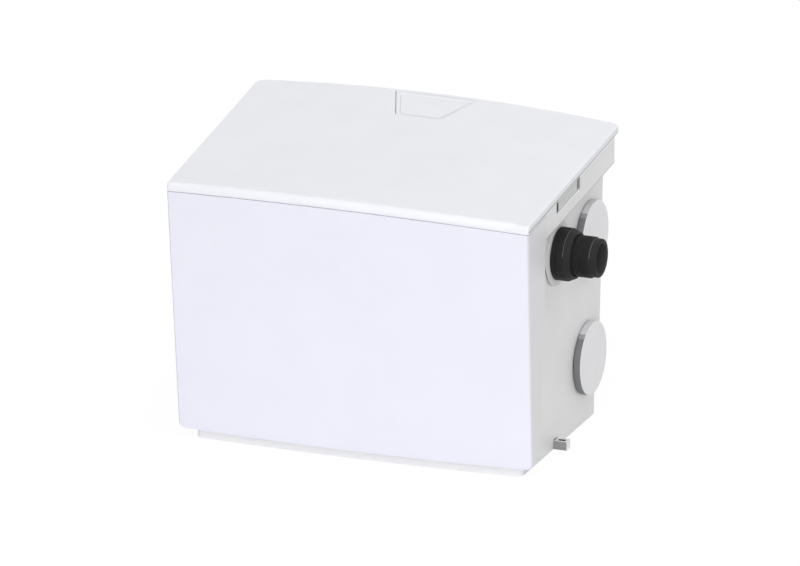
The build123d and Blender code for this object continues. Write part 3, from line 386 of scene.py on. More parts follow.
# Painted light on the front of the foot, below the cover, which brightens the shade there
FOOT_FRONT_PAINTED_LIGHT = Zone(
    "#FCFCFD",
    (
        past(FORWARD, limit=100.0),
        Slab(UPWARD, middle=0.0, half=14.0),
        Slab(SIDEWAYS, middle=0.0, half=198.9),
    ),
)
# Painted shade on the sides of the lid, with a painted shadow line along their foot
LID_SIDE_SHADE = Zone("#E2E3E7", (LID_SIDES,))
LID_FOOT_SHADOW_LINE = Zone("#A2A3A6", (Slab(OFF_LID, middle=325.3, half=0.9), LID_SIDES))
# Painted shade on the step at the left of the vent's recess
VENT_STEP_SHADE = Zone(
    "#A4A5A8",
    (
        Slab((0.9401, 0.3412, 0.0), middle=-1.1, half=0.6, mirrored=False),
        Slab(BACKWARD, middle=104.0, half=30.5),
    ),
)
# Painted light on the top of each cap's band, paler in two steps
CAP_TOP_HIGHLIGHTS = tuple(
    Zone(shade, (Slab(UPWARD, middle=height + rise, half=half),))
    for shade, rise, half in (("#A2A3A4", 40.0, 8.0), ("#D8D9DA", 42.0, 6.0))
    for height in CAP_HEIGHTS.values()
)
COVER_RETURNS = Zone("#DADADC", (past((1.0, 0.0, -0.0163), limit=214.4),))
# Painted highlights on the tops of the latch's ribs
LATCH_RIB_HIGHLIGHTS = Zone("#EAEBEB", (past(SIDEWAYS, limit=216.35),))
# Painted shade at both ends of each latch, where its slots are
LATCH_BACK_END_SHADE = Zone("#6E6F70", (past(BACKWARD, limit=13.6),))
LATCH_FRONT_END_SHADE = Zone("#6E6F70", (past(FORWARD, limit=47.6),))
# Painted shade on the lug's front face and on the walls of its slot
LUG_FRONT_SHADE = Zone("#98999A", (past(FORWARD, limit=17.5),))
LUG_SLOT_SHADE = Zone(
    "#4A4B4C",
    (Slab(SIDEWAYS, middle=207.55, half=4.6), Slab(BACKWARD, middle=-11.5, half=2.6)),
)
# The discharge: painted light in its bore and painted shade on its end face, which make both one
# even dark, and painted highlights on the upper half of edges that catch the light from above
OUTLET_BORE_PAINTED_LIGHT = Zone("#444444", (Core(OUTLET_CENTRE, radius=18.6), FITTING))
OUTLET_END_SHADE = Zone("#161616", (past(SIDEWAYS, limit=258.9),))
# Painted highlights on the upper half of the flange's, the nut's and the nipple's edges
FLANGE_EDGE_HIGHLIGHT, NUT_EDGE_HIGHLIGHT, NIPPLE_EDGE_HIGHLIGHT = (
    Zone("#585858", (Slab(SIDEWAYS, middle, half), UPPER_HALF))
    for middle, half in ((208.3, 0.5), (222.6, 0.4), (252.0, 0.4))
)
# A painted shadow round the foot of the grommet, on its lower half
GROMMET_FOOT_SHADOW = Zone(
    "#4A4A4C",
    (Slab(SIDEWAYS, middle=PAD_FACE, half=0.9), past(DOWNWARD, limit=-OUTLET_CENTRE[1])),
)

FINISHES = {
    # Injection-moulded polypropylene, satin: soft broad highlights and a faint orange peel
    Finish.TANK: Moulding(
        "#E3E3E4", "#E0E0E1", 0.42, zones=(RIM_FOOT_SHADOW_LINE, RIM_EDGE_HIGHLIGHT, LATCH_LEDGE_HIGHLIGHT, FOOT_FRONT_PAINTED_LIGHT)
    ),
    Finish.LID: Moulding("#F6F7FC", "#F3F4F9", 0.38, zones=(LID_SIDE_SHADE, LID_FOOT_SHADOW_LINE, VENT_STEP_SHADE)),
    # Moulded ABS with a faintly blue white on its front, and the tank's grey on its returns
    Finish.COVER: Moulding(
        "#F0F1FC",
        "#EEEFFA",
        0.36,
        grain_size=0.5 * MM,
        grain_depth=0.006 * MM,
        zones=(COVER_RETURNS,),
    ),
    Finish.CAP_FACE: Moulding("#E6E6E8", "#E3E3E5", 0.4),
    Finish.CAP_RIM: Moulding("#848586", "#7C7D7E", 0.5, zones=CAP_TOP_HIGHLIGHTS),
    Finish.LATCH: Moulding(
        "#D4D5D5",
        "#BFC1C1",
        0.48,
        drift_size=5 * MM,
        zones=(LATCH_RIB_HIGHLIGHTS, LATCH_BACK_END_SHADE, LATCH_FRONT_END_SHADE),
    ),
    Finish.LUG: Moulding("#F0F0F1", "#ECECED", 0.45, zones=(LUG_FRONT_SHADE, LUG_SLOT_SHADE)),
    # Glass-filled polyamide: near black, with a matt grain that scatters what it reflects
    Finish.BLACK: Moulding(
        "#2B2B2B",
        "#272727",
        0.55,
        specular=0.16,
        grain_size=0.4 * MM,
        grain_depth=0.02 * MM,
        zones=(FLANGE_EDGE_HIGHLIGHT, NUT_EDGE_HIGHLIGHT, NIPPLE_EDGE_HIGHLIGHT, OUTLET_END_SHADE, OUTLET_BORE_PAINTED_LIGHT),
    ),
    Finish.GREY: Moulding("#8A8D91", "#828589", 0.4),
    Finish.RUBBER: Moulding("#262626", "#202020", 0.7, ior=1.52, grain_depth=0.02 * MM),
    Finish.PALE_RUBBER: Moulding("#DADADB", "#D4D4D5", 0.55, zones=(GROMMET_FOOT_SHADOW,)),
    # Pressed carbon granules: black, with a coarse crumb
    Finish.CARBON: Moulding(
        "#1B1B1C", "#101011", 0.8, grain_size=2.2 * MM, grain_depth=0.5 * MM
    ),
    # Stainless steel brushed along X: the grain is drawn out into streaks
    Finish.STAINLESS: Moulding(
        "#BDBDBB", "#B0B0AE", 0.34, metallic=1.0, grain_depth=0.01 * MM, stretch=(0.04, 1, 1)
    ),
    Finish.GROUND: Moulding(
        "#C8C8C8", "#BCBCBC", 0.22, metallic=1.0, grain_size=0.3 * MM, grain_depth=0.004 * MM
    ),
    Finish.LAMINATION: Moulding(
        "#6A5340", "#57453A", 0.45, metallic=0.6, grain_size=0.5 * MM, stretch=(0.05, 0.05, 2)
    ),
    Finish.FLOAT: Moulding("#D87A1E", "#CF7118", 0.42),
}


class Palette:
    """Makes each finish's material once, when it is first asked for."""

    def __init__(self) -> None:
        """Starts with no materials."""
        self.made: dict[Finish, bpy.types.Material] = {}

    def get(self, finish: Finish) -> bpy.types.Material:
        """Gives a finish's material.

        Args:
            finish: The finish wanted.

        Returns:
            Its material.
        """
        if finish not in self.made:
            self.made[finish] = FINISHES[finish].build(finish.value)
        return self.made[finish]


@dataclass
class Studio:
    """Camera, lamps, world and floor."""

    target: Triple = (0.0064, -0.0035, 0.1732)
    azimuth: float = 20.5
    elevation: float = 19.34
    distance: float = 2.0
    view_width: float = 0.9159
    world_strength: float = 0.62
    key_strength: float = 1.1
    key_from: Triple = (0.12, -0.85, 0.5)
    side_strength: float = 0.66
    side_from: Triple = (1.0, -0.35, 0.05)
    fill_strength: float = 0.57
    fill_from: Triple = (0.2, 0.1, 0.9)
    lamp_softness: float = 55.0
    floor_shade: str = "#F4F4F4"
    floor_brightness: float = 1.04
    floor_glow: float = 0.88
    floor_half: float = 4.0

    def camera(self) -> None:
        """Adds the camera that looks along the photograph's direction, with no perspective."""
        data = bpy.data.cameras.new("camera")
        data.type = "ORTHO"
        data.ortho_scale = self.view_width
        camera = bpy.data.objects.new("camera", data)
        azimuth = math.radians(self.azimuth)
        elevation = math.radians(self.elevation)
        back = Vector(
            (
                math.sin(azimuth) * math.cos(elevation),
                -math.cos(azimuth) * math.cos(elevation),
                math.sin(elevation),
            )
        )
        camera.location = Vector(self.target) + back * self.distance
        camera.rotation_euler = Euler((math.pi / 2 - elevation, 0, azimuth))
        bpy.context.scene.collection.objects.link(camera)
        bpy.context.scene.camera = camera

    def lamps(self) -> None:
        """Adds a soft key lamp from the front, a low one from the right and one from above."""
        for name, strength, origin in (
            ("key_lamp", self.key_strength, self.key_from),
            ("side_lamp", self.side_strength, self.side_from),
            ("fill_lamp", self.fill_strength, self.fill_from),
        ):
            data = bpy.data.lights.new(name, "SUN")
            data.energy = strength
            data.angle = math.radians(self.lamp_softness)
            lamp = bpy.data.objects.new(name, data)
            lamp.rotation_euler = Vector(origin).to_track_quat("Z", "Y").to_euler()
            bpy.context.scene.collection.objects.link(lamp)

    def seen_white(self, tree: Tree) -> Socket:
        """Tells the rays that see a background from those that light the object.

        Args:
            tree: The node tree to add to.

        Returns:
            A socket that is one for camera, glossy and transmission rays.
        """
        rays = add_node(tree, "ShaderNodeLightPath").outputs
        seen = maths(tree, "MAXIMUM", rays["Is Camera Ray"], rays["Is Glossy Ray"])
        return maths(tree, "MAXIMUM", seen, rays["Is Transmission Ray"])

    def world(self) -> None:
        """Lights the object evenly from all round, and shows as white."""
        world = bpy.data.worlds.new("studio")
        bpy.context.scene.world = world
        world.use_nodes = True
        tree = world.node_tree
        tree.nodes.clear()
        strength = add_node(
            tree,
            "ShaderNodeMapRange",
            {"To Min": self.world_strength, "To Max": 1.0},
            {"Value": self.seen_white(tree)},
        ).outputs["Result"]
        light = add_node(tree, "ShaderNodeBackground", links={"Strength": strength})
        add_node(tree, "ShaderNodeOutputWorld", links={"Surface": light.outputs["Background"]})

    def floor(self) -> None:
        """Adds a pale floor that shows as white, with the object's soft shadow on it."""
        half = self.floor_half
        mesh = bpy.data.meshes.new("floor")
        mesh.from_pydata(
            [(-half, -half, 0), (half, -half, 0), (half, half, 0), (-half, half, 0)],
            [],
            [(0, 1, 2, 3)],
        )
        floor = bpy.data.objects.new("floor", mesh)
        bpy.context.scene.collection.objects.link(floor)
        material = bpy.data.materials.new("pale_floor")
        material.use_nodes = True
        tree = material.node_tree
        tree.nodes.clear()
        matt = add_node(tree, "ShaderNodeBsdfDiffuse", {"Color": linear(self.floor_shade)})
        glow = add_node(tree, "ShaderNodeEmission", {"Strength": self.floor_brightness})
        share = maths(tree, "MULTIPLY", self.seen_white(tree), self.floor_glow)
        mix = add_node(
            tree,
            "ShaderNodeMixShader",
            links={0: share, 1: matt.outputs["BSDF"], 2: glow.outputs["Emission"]},
        )
        add_node(tree, "ShaderNodeOutputMaterial", links={"Surface": mix.outputs["Shader"]})
        mesh.materials.append(material)

    def build(self) -> None:
        """Sets up the whole studio."""
        self.camera()
        self.lamps()
        self.world()
        self.floor()
        bpy.context.scene.view_settings.view_transform = "Standard"


NODE_FINISHES = {
    Finish.TANK: (
        "tank", "right_lower_inlet", "right_upper_inlet", "left_lower_inlet", "left_upper_inlet",
    ),
    Finish.LATCH: ("right_latch", "left_latch"),
    Finish.LID: ("lid", "vent_cover"),
    Finish.COVER: ("front_cover",),
    Finish.CAP_FACE: ("right_lower_cap", "right_upper_cap", "left_lower_cap", "left_upper_cap"),
    Finish.LUG: ("right_floor_lug", "left_floor_lug"),
    Finish.BLACK: (
        "outlet_flange", "outlet_lock_nut", "outlet_nipple", "union_nut", "pump_strainer",
        "pump_volute", "bearing_plate", "motor_cover", "pump_handle", "pump_gland", "impeller",
        "valve_flap",
    ),
    Finish.GREY: (
        "filter_cassette", "cable_gland", "gland_lock_nut", "pressure_pipe", "valve_body",
        "float_bracket", "float_lever",
    ),
    Finish.RUBBER: ("lid_gasket", "inlet_seals", "outlet_o_ring", "shaft_seal", "pipe_sleeve"),
    Finish.PALE_RUBBER: ("outlet_grommet",),
    Finish.CARBON: ("carbon_filter",),
    Finish.STAINLESS: ("motor_housing", "pump_screws", "sleeve_clamps", "flap_pin", "float_pin"),
    Finish.GROUND: ("lower_bearing", "upper_bearing", "pump_shaft"),
    Finish.LAMINATION: ("motor_stator", "motor_rotor"),
    Finish.FLOAT: ("float_ball",),
}


@dataclass
class FrameDress:
    """Gives every piece of the frame its finish and smooths its round faces."""

    palette: Palette

    def dress(self, name: str, finish: Finish) -> None:
        """Assigns a finish to one node and smooths it.

        Args:
            name: The node's name.
            finish: Its finish.
        """
        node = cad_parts[name]
        node.data.materials.clear()
        node.data.materials.append(self.palette.get(finish))
        smooth = np.ones(len(node.data.polygons), dtype=bool)
        node.data.polygons.foreach_set("use_smooth", smooth)
        join = node.modifiers.new("join", "WELD")
        join.merge_threshold = WELD
        edge = node.modifiers.new("edge", "EDGE_SPLIT")
        edge.split_angle = CREASE
        node.modifiers.new("level", "WEIGHTED_NORMAL")

    def build(self) -> None:
        """Dresses all the nodes."""
        for finish, names in NODE_FINISHES.items():
            for name in names:
                self.dress(name, finish)
            LOG.info("%s: %s", finish.value, ", ".join(names))


def rounded_loop(points: list[Triple], steps: int = 5) -> np.ndarray:
    """Rounds the corners of a closed outline.

    Each corner's arc touches both of its edges at radius / tan(half the angle between them).

    Args:
        points: Corners in order, each with its two coordinates and its radius, in millimetres.
        steps: Number of edges along each arc.

    Returns:
        The outline's points, as an array of two columns.
    """
    loop = []
    for index, (first, second, radius) in enumerate(points):
        corner = np.array((first, second))
        if radius <= 0:
            loop.append(corner)
            continue
        before = np.array(points[index - 1][:2]) - corner
        after = np.array(points[(index + 1) % len(points)][:2]) - corner
        before, after = before / np.linalg.norm(before), after / np.linalg.norm(after)
        half = math.acos(float(np.clip(before @ after, -1, 1))) / 2
        middle = before + after
        centre = corner + middle / np.linalg.norm(middle) * radius / math.sin(half)
        start = corner + before * radius / math.tan(half) - centre
        end = corner + after * radius / math.tan(half) - centre
        turn = math.atan2(start[0] * end[1] - start[1] * end[0], float(start @ end))
        for step in range(steps + 1):
            angle = turn * step / steps
            cosine, sine = math.cos(angle), math.sin(angle)
            turned = (cosine * start[0] - sine * start[1], sine * start[0] + cosine * start[1])
            loop.append(centre + np.array(turned))
    return np.array(loop)


def add_piece(
    name: str, vertices: np.ndarray, faces: np.ndarray, bands: np.ndarray
) -> bpy.types.Object:
    """Makes a mesh object from points in millimetres, with its faces outwards.

    The sum over the faces of a . (b x c), for three of each face's points, is below zero where
    the faces point inwards.

    Args:
        name: The object's name.
        vertices: Array of three columns.
        faces: Vertex numbers of each face.
        bands: Material slot of each face.

    Returns:
        The object, at the origin and linked to the scene.
    """
    mesh = bpy.data.meshes.new(name)
    mesh.from_pydata((vertices * MM).tolist(), [], faces.tolist())
    mesh.polygons.foreach_set("material_index", bands)
    first, second, third = (vertices[faces[:, column]] for column in range(3))
    if np.einsum("ij,ij->i", first, np.cross(second, third)).sum() < 0:
        mesh.flip_normals()
    mesh.polygons.foreach_set("use_smooth", np.ones(len(mesh.polygons), dtype=bool))
    mesh.set_sharp_from_angle(angle=PIECE_CREASE)
    mesh.update()
    piece = bpy.data.objects.new(name, mesh)
    bpy.context.scene.collection.objects.link(piece)
    return piece


def ring_faces(rings: int, around: int) -> np.ndarray:
    """Numbers the faces of a surface that closes in both directions, as a torus does.

    The face at a ring and a point joins that point and the next one to the same two of the next
    ring, and after the last ring or point comes the first.

    Args:
        rings: Number of rings.
        around: Number of points in each ring.

    Returns:
        Four vertex numbers for each face, ring after ring.
    """
    ring, point = np.divmod(np.arange(rings * around), around)
    here, there = ring * around, (ring + 1) % rings * around
    beside = (point + 1) % around
    return np.stack((here + point, here + beside, there + beside, there + point), axis=1)


@dataclass(frozen=True)
class Role:
    """What a piece stands for: the node it replaces, its body and its material slot."""

    node: str
    body: str
    slot: str

    def take(self, piece: bpy.types.Object, materials: list[bpy.types.Material]) -> None:
        """Puts a finished piece in its node's place.

        Args:
            piece: The piece.
            materials: The piece's materials, in the order of its bands.
        """
        for material in materials:
            piece.data.materials.append(material)
        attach(piece, self.body)
        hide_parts(self.node)
        LOG.info("%s stands for %s on %s", piece.name, self.node, self.body)


@dataclass
class Turned:
    """A piece turned about an axis along X, from a closed profile of x and radius.

    A point at an angle t sits at y = centre + r cos t and z = centre + r sin t.
    """

    name: str
    role: Role
    centre: tuple[float, float]
    profile: np.ndarray
    around: int = 96
    face_from: float = math.inf

    def radius(self, x: np.ndarray, r: np.ndarray, angle: np.ndarray) -> np.ndarray:
        """Gives the radius at each point; a plain turned piece keeps its profile's.

        Args:
            x: Distance along the axis.
            r: The profile's radius.
            angle: Angle about the axis.

        Returns:
            The radius at each point.
        """
        return r + 0 * angle

    def build(self, materials: list[bpy.types.Material]) -> None:
        """Makes the piece.

        Args:
            materials: One material, or two where the end face has its own.
        """
        angle = np.linspace(0, TAU, self.around, endpoint=False)[None, :]
        x, r = self.profile[:, :1], self.profile[:, 1:]
        radius = self.radius(x, r, angle)
        y = self.centre[0] + radius * np.cos(angle)
        z = self.centre[1] + radius * np.sin(angle)
        grid = np.stack((x + 0 * angle, y, z), axis=-1)
        ends = np.roll(self.profile, -1, axis=0)
        flat = np.minimum(np.abs(self.profile[:, 0]), np.abs(ends[:, 0])) > self.face_from
        bands = np.repeat(flat.astype(np.int32), self.around)
        faces = ring_faces(len(self.profile), self.around)
        self.role.take(add_piece(self.name, grid.reshape(-1, 3), faces, bands), materials)


@dataclass
class Threaded(Turned):
    """A turned piece with a helical thread between two places.

    The ridge height is root + (crest - root) times a rounded wave of (x / pitch - angle / 360),
    the wave stretched by steepness and lowered by dip, then cut at 0 and 1.
    """

    thread: tuple[float, float] = (0.0, 0.0)
    root: float = 23.1
    crest: float = 24.15
    pitch: float = 2.31
    steepness: float = 1.5
    dip: float = 0.2
    run_out: float = 0.6

    def radius(self, x: np.ndarray, r: np.ndarray, angle: np.ndarray) -> np.ndarray:
        """Gives the radius at each point, with the thread cut into the outside.

        Args:
            x: Distance along the axis.
            r: The profile's radius.
            angle: Angle about the axis.

        Returns:
            The radius at each point.
        """
        start, end = self.thread
        turn = (x - start) / self.pitch - angle / TAU
        wave = 0.5 + 0.5 * np.cos(TAU * turn)
        ridge = np.clip(self.steepness * wave - self.dip, 0, 1)
        rise = np.clip((x - start) / self.pitch, 0, 1)
        fade = rise * np.clip((end - x) / (self.run_out * self.pitch), 0, 1)
        cut = (x > start) & (x < end) & (r > self.root)
        height = self.root + (self.crest - self.root) * ridge * fade
        return np.where(cut, height, r + 0 * angle)


@dataclass
class Scalloped(Turned):
    """A turned piece with shallow finger grooves round its grip.

    Each groove is a wave of the angle, stretched by steepness and lowered by dip, then cut at 0
    and 1, and it runs in and out over two lengths at the ends of the grip.
    """

    grip: tuple[float, float] = (0.0, 0.0)
    grooves: int = 12
    depth: float = 0.7
    least: float = 28.5
    steepness: float = 1.6
    dip: float = 0.6
    run_in: float = 1.2
    run_out: float = 2.5

    def radius(self, x: np.ndarray, r: np.ndarray, angle: np.ndarray) -> np.ndarray:
        """Gives the radius at each point, with the grooves pressed into the grip.

        Args:
            x: Distance along the axis.
            r: The profile's radius.
            angle: Angle about the axis.

        Returns:
            The radius at each point.
        """
        start, end = self.grip
        rise = np.clip((x - start) / self.run_in, 0, 1)
        reach = rise * np.clip((end - x) / self.run_out, 0, 1)
        wave = self.steepness * np.cos(self.grooves * angle) - self.dip
        return r - np.where(r > self.least, self.depth * reach * np.clip(wave, 0, 1), 0)


@dataclass
class Fitting:
    """The discharge: grommet, flange, union nut and threaded nipple, in millimetres.

    The corners of each profile are x, radius and the corner's own small round.
    """

    palette: Palette
    grommet_radius: float = 38.0
    grommet_depth: float = 3.4
    grommet_gap: float = 0.3
    tail_reach: float = -27.0
    tail_radius: float = 21.5
    flange_radius: float = 30.9
    flange_depth: float = 5.5
    spigot_radius: float = 26.9
    spigot_length: float = 10.0
    spigot_gap: float = 0.1
    bore: float = 18.0
    nut_radius: float = 30.9
    nut_length: float = 17.0
    nut_lip: float = 2.8
    nut_hole: float = 24.45
    cone_radius: float = 27.2
    cone_length: float = 8.0
    grip_start: float = 1.4
    grip_end: float = 0.8
    grip_overrun: float = 2.5
    grip_rings: int = 14
    collar_gap: float = 1.6
    collar_back: float = 3.1
    collar_radius: float = 26.6
    thread_gap: float = 1.2
    thread_length: float = 20.2
    thread_root: float = 23.1
    thread_crest: float = 24.15
    thread_margin: float = 0.05
    thread_rings: int = 120
    end_length: float = 7.6
    end_radius: float = 22.6

    def build_grommet(self, face: float) -> None:
        """Makes the grommet, which sits on the tank's pad.

        Args:
            face: Where it meets the flange.
        """
        hole = self.tail_radius + self.grommet_gap
        profile = rounded_loop(
            [
                (PAD_FACE, hole, 0.4),
                (face, hole, 0.4),
                (face, self.grommet_radius, 1.2),
                (PAD_FACE, self.grommet_radius, 0.0),
            ]
        )
        role = Role("outlet_grommet", "tank", "pale_rubber")
        grommet = Turned("discharge_grommet", role, OUTLET_CENTRE, profile)
        grommet.build([self.palette.get(Finish.PALE_RUBBER)])

    def build_flange(self, face: float, step: float, lip: float) -> None:
        """Makes the flange, with its tail through the wall and its spigot.

        Args:
            face: Where it meets the grommet.
            step: Where its disc ends.
            lip: Where its spigot ends.
        """
        tail = PAD_FACE + self.tail_reach
        profile = rounded_loop(
            [
                (tail, self.bore, 0.4),
                (lip, self.bore, 0.4),
                (lip, self.spigot_radius, 0.4),
                (step, self.spigot_radius, 0.2),
                (step, self.flange_radius, 0.9),
                (face, self.flange_radius, 0.5),
                (face, self.tail_radius, 0.2),
                (tail, self.tail_radius, 0.4),
            ]
        )
        role = Role("outlet_flange", "tank", "black_plastic")
        flange = Turned("discharge_flange", role, OUTLET_CENTRE, profile)
        flange.build([self.palette.get(Finish.BLACK)])

    def build_nut(self, start: float, end: float) -> None:
        """Makes the union nut: a grip with finger grooves, then a cone.

        Args:
            start: Where the nut starts.
            end: Where it ends.
        """
        slope = end - self.cone_length
        hole = self.spigot_radius + self.spigot_gap
        grip = np.linspace(start + self.grip_start, slope - self.grip_end, self.grip_rings)
        profile = rounded_loop(
            [
                (start, hole, 0.2),
                (end - self.nut_lip, hole, 0.2),
                (end - self.nut_lip, self.nut_hole, 0.2),
                (end, self.nut_hole, 0.3),
                (end, self.cone_radius, 0.7),
                (slope, self.nut_radius, 0.5),
                *[(x, self.nut_radius, 0.0) for x in grip[::-1]],
                (start, self.nut_radius, 0.8),
            ]
        )
        role = Role("union_nut", "union_nut", "black_plastic")
        reach = (start, slope + self.grip_overrun)
        nut = Scalloped(
            "union_nut_moulding", role, OUTLET_CENTRE, profile, around=192, grip=reach
        )
        nut.build([self.palette.get(Finish.BLACK)])

    def build_nipple(self, collar: float, end: float) -> None:
        """Makes the nipple: a collar inside the nut, a thread and a plain end.

        Args:
            collar: Where the nipple's collar starts.
            end: Where the nut ends.
        """
        thread_start = end + self.thread_gap
        thread_end = thread_start + self.thread_length
        tip = thread_end + self.end_length
        back = end - self.collar_back
        turns = np.linspace(
            thread_end - self.thread_margin, thread_start + self.thread_margin, self.thread_rings
        )
        profile = rounded_loop(
            [
                (collar, self.bore, 0.3),
                (tip, self.bore, 0.8),
                (tip, self.end_radius, 1.5),
                (thread_end, self.end_radius, 0.3),
                (thread_end, self.thread_root, 0.0),
                *[(x, self.thread_crest, 0.0) for x in turns],
                (thread_start, self.thread_root, 0.0),
                (back, self.thread_root, 0.2),
                (back, self.collar_radius, 0.4),
                (collar, self.collar_radius, 0.4),
            ]
        )
        role = Role("outlet_nipple", "tank", "black_plastic")
        reach = (thread_start, thread_end)
        nipple = Threaded(
            "nipple_thread", role, OUTLET_CENTRE, profile, around=128, thread=reach
        )
        nipple.build([self.palette.get(Finish.BLACK)])

    def build(self) -> None:
        """Makes the four pieces, from the tank's wall outwards."""
        face = PAD_FACE + self.grommet_depth
        step = face + self.flange_depth
        lip = step + self.spigot_length
        start = step + SLIDE_GAP
        end = start + self.nut_length
        self.build_grommet(face)
        self.build_flange(face, step, lip)
        self.build_nut(start, end)
        self.build_nipple(lip + self.collar_gap, end)


@dataclass
class Cap:
    """A blanking cap: a pale face, a grey band round it, and a short plug, in millimetres.

    The corners of its profile are x, radius and the corner's own small round.
    """

    palette: Palette
    side: int
    level: str
    height: float
    back: float
    middle: float = 83.5
    radius: float = CAP_RADIUS
    depth: float = 8.6
    skin: float = 3.0
    socket: float = 38.8
    plug_outer: float = 24.9
    plug_inner: float = 22.0
    plug_reach: float = 6.0
    axis_hole: float = 0.02
    back_step: float = 0.5
    back_reach: float = 1.6
    edge_start: float = 0.9
    edge_round: float = 0.85
    face_margin: float = 2.4
    band_end: float = 0.75

    def build(self) -> None:
        """Makes the cap."""
        side_name = "right" if self.side > 0 else "left"
        front = self.back + self.depth
        inner = front - self.skin
        tip = self.back - self.plug_reach
        loop = rounded_loop(
            [
                (inner, self.axis_hole, 0.0),
                (inner, self.plug_inner, 0.3),
                (tip, self.plug_inner, 0.6),
                (tip, self.plug_outer, 0.8),
                (inner, self.plug_outer, 0.3),
                (inner, self.socket, 0.6),
                (self.back, self.socket, 0.3),
                (self.back, self.radius - self.back_step, 0.3),
                (self.back + self.back_reach, self.radius, 0.3),
                (front - self.edge_start, self.radius, 0.0),
                (front, self.radius, self.edge_round),
                (front, self.radius - self.face_margin, 0.0),
                (front, self.axis_hole, 0.0),
            ]
        )
        loop[:, 0] *= self.side
        node = f"{side_name}_{self.level}_cap"
        role = Role(node, node, "cap_plastic")
        centre = (self.middle, self.height)
        face_from = front - self.band_end
        cap = Turned(f"{node}_moulding", role, centre, loop, around=128, face_from=face_from)
        cap.build([self.palette.get(Finish.CAP_RIM), self.palette.get(Finish.CAP_FACE)])


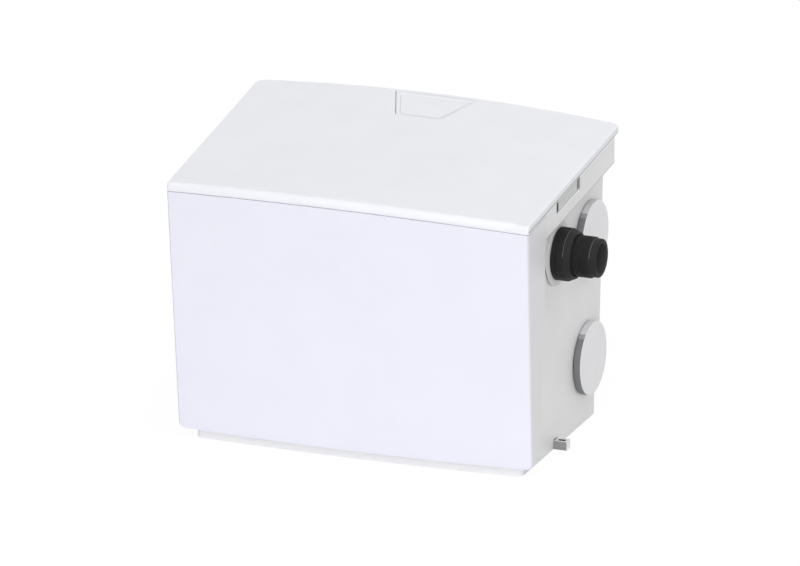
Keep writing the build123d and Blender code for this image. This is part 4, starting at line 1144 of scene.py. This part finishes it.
@dataclass
class Lid:
    """The lid, with the fuller roll of its front edge and the squarer lip below it.

    Across an edge, a point of its round lies at an angle t, at inset r (1 - cos t) and depth
    r (1 - sin t), so another radius keeps t and takes another r. In plan, a is the inset from the
    bowed front and b the one from the side; round a corner of radius c the inset is
    c - the root of (c - a) squared + (c - b) squared. Sizes are in millimetres.
    """

    palette: Palette
    half_width: float = 221.65
    front: float = -158.1
    bow: float = 15.0
    edge_level: float = 322.9
    dome: float = 10.0
    thickness: float = 9.5
    round: float = 3.0
    round_margin: float = 0.1
    front_round: float = 6.5
    lip_round: float = 0.7
    corner: float = 4.0
    least_bend: float = 0.01
    fade: float = 14.0
    lip: float = 0.95
    lip_back: tuple[float, float] = (-104.0, -98.0)

    def arch(self, x: np.ndarray) -> np.ndarray:
        """Height of the dome: dome - (R - the root of R squared - x squared).

        Args:
            x: Distance from the middle.

        Returns:
            The height over the side edges.
        """
        radius = (self.half_width**2 + self.dome**2) / (2 * self.dome)
        return self.dome - (radius - np.sqrt(radius**2 - x**2))

    def roll(self, points: np.ndarray) -> np.ndarray:
        """Gives the front edge its fuller round, and squares and lowers its lip.

        Args:
            points: The lid's points, in millimetres.

        Returns:
            The points, moved.
        """
        x, y, z = points.T
        cosine = math.cos(LID_ANGLE)
        radius = (self.half_width**2 + self.bow**2) / (2 * self.bow)
        centre = self.front - self.bow + radius
        ahead, beside = radius - np.hypot(x, y - centre), self.half_width - np.abs(x)
        bend = np.hypot(self.corner - ahead, self.corner - beside)
        cornered = (ahead < self.corner) & (beside < self.corner)
        inset = np.where(cornered, self.corner - bend, np.minimum(ahead, beside))
        height = (z - self.edge_level - y * SLOPE) * cosine - self.arch(x)
        depth = self.thickness - height

        # How much of the fuller roll, by a smooth step of s s (3 - 2 s), and of the squarer lip
        # each point gets
        share = np.clip((self.half_width - self.corner - np.abs(x)) / self.fade, 0, 1)
        share = share * share * (3 - 2 * share) * (y < self.front + self.corner)
        lip_start, lip_end = self.lip_back
        low_share = np.clip((lip_end - y) / (lip_end - lip_start), 0, 1)
        on_round = self.round + self.round_margin
        near = (inset < on_round) & (y < lip_end)
        upper, lower = near & (depth < on_round), near & (height < on_round)
        full = self.round + (self.front_round - self.round) * share
        tight = self.round + (self.lip_round - self.round) * low_share

        # Insets and heights at the new radii
        top_turn = np.arctan2(self.round - depth, self.round - inset)
        low_turn = np.arctan2(self.round - height, self.round - inset)
        new_inset = np.where(upper, full * (1 - np.cos(top_turn)), inset)
        new_inset = np.where(lower, tight * (1 - np.cos(low_turn)), new_inset)
        new_height = np.where(upper, self.thickness - full * (1 - np.sin(top_turn)), height)
        new_height = np.where(lower, tight * (1 - np.sin(low_turn)), new_height)
        new_height = new_height - np.where(height < self.round, self.lip * low_share, 0)

        # Back to places in plan, round the corners too
        scale = (self.corner - new_inset) / np.maximum(bend, self.least_bend)
        new_ahead = np.where(cornered, self.corner - (self.corner - ahead) * scale, ahead)
        new_ahead = np.where(~cornered & (ahead <= beside), new_inset, new_ahead)
        new_beside = np.where(cornered, self.corner - (self.corner - beside) * scale, beside)
        new_beside = np.where(~cornered & (beside < ahead), new_inset, new_beside)
        moved_x = np.sign(x) * (self.half_width - new_beside)
        moved_y = np.where(near, centre - np.sqrt((radius - new_ahead) ** 2 - moved_x**2), y)
        moved_x = np.where(near, moved_x, x)
        moved_z = z + (new_height - height) / cosine + (moved_y - y) * SLOPE
        return np.stack((moved_x, moved_y, moved_z), axis=1)

    def build(self) -> None:
        """Makes the lid from a merged copy of its node."""
        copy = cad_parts["lid"].data.copy()
        work = bmesh.new()
        work.from_mesh(copy)
        bmesh.ops.remove_doubles(work, verts=work.verts, dist=WELD)
        bmesh.ops.recalc_face_normals(work, faces=work.faces)
        work.to_mesh(copy)
        work.free()
        points = np.empty(3 * len(copy.vertices))
        copy.vertices.foreach_get("co", points)
        copy.vertices.foreach_set("co", (self.roll(points.reshape(-1, 3) / MM) * MM).ravel())
        copy.materials.clear()
        copy.polygons.foreach_set("use_smooth", np.ones(len(copy.polygons), dtype=bool))
        copy.set_sharp_from_angle(angle=CREASE)
        copy.update()
        piece = bpy.data.objects.new("lid_moulding", copy)
        bpy.context.scene.collection.objects.link(piece)
        level = piece.modifiers.new("level", "WEIGHTED_NORMAL")
        level.keep_sharp = True
        Role("lid", "lid", "lid_plastic").take(piece, [self.palette.get(Finish.LID)])


def build_caps(palette: Palette) -> None:
    """Makes the four blanking caps.

    An inlet's face is a gap past the drafted side wall, taken at the height of the cap's top,
    and the cap's back stands another gap off that face.

    Args:
        palette: The finishes.
    """
    for side in (1, -1):
        for level, height in CAP_HEIGHTS.items():
            face = FOOT_HALF_WIDTH + (height + CAP_RADIUS) * SIDE_DRAFT + SLIDE_GAP
            Cap(palette, side, level, height, face + SLIDE_GAP).build()


def main() -> None:
    """Builds the studio and the pieces."""
    logging.basicConfig(level=logging.INFO)
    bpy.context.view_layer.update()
    palette = Palette()
    Studio().build()
    FrameDress(palette).build()
    Fitting(palette).build()
    build_caps(palette)
    Lid(palette).build()


if __name__ == "__main__":
    main()
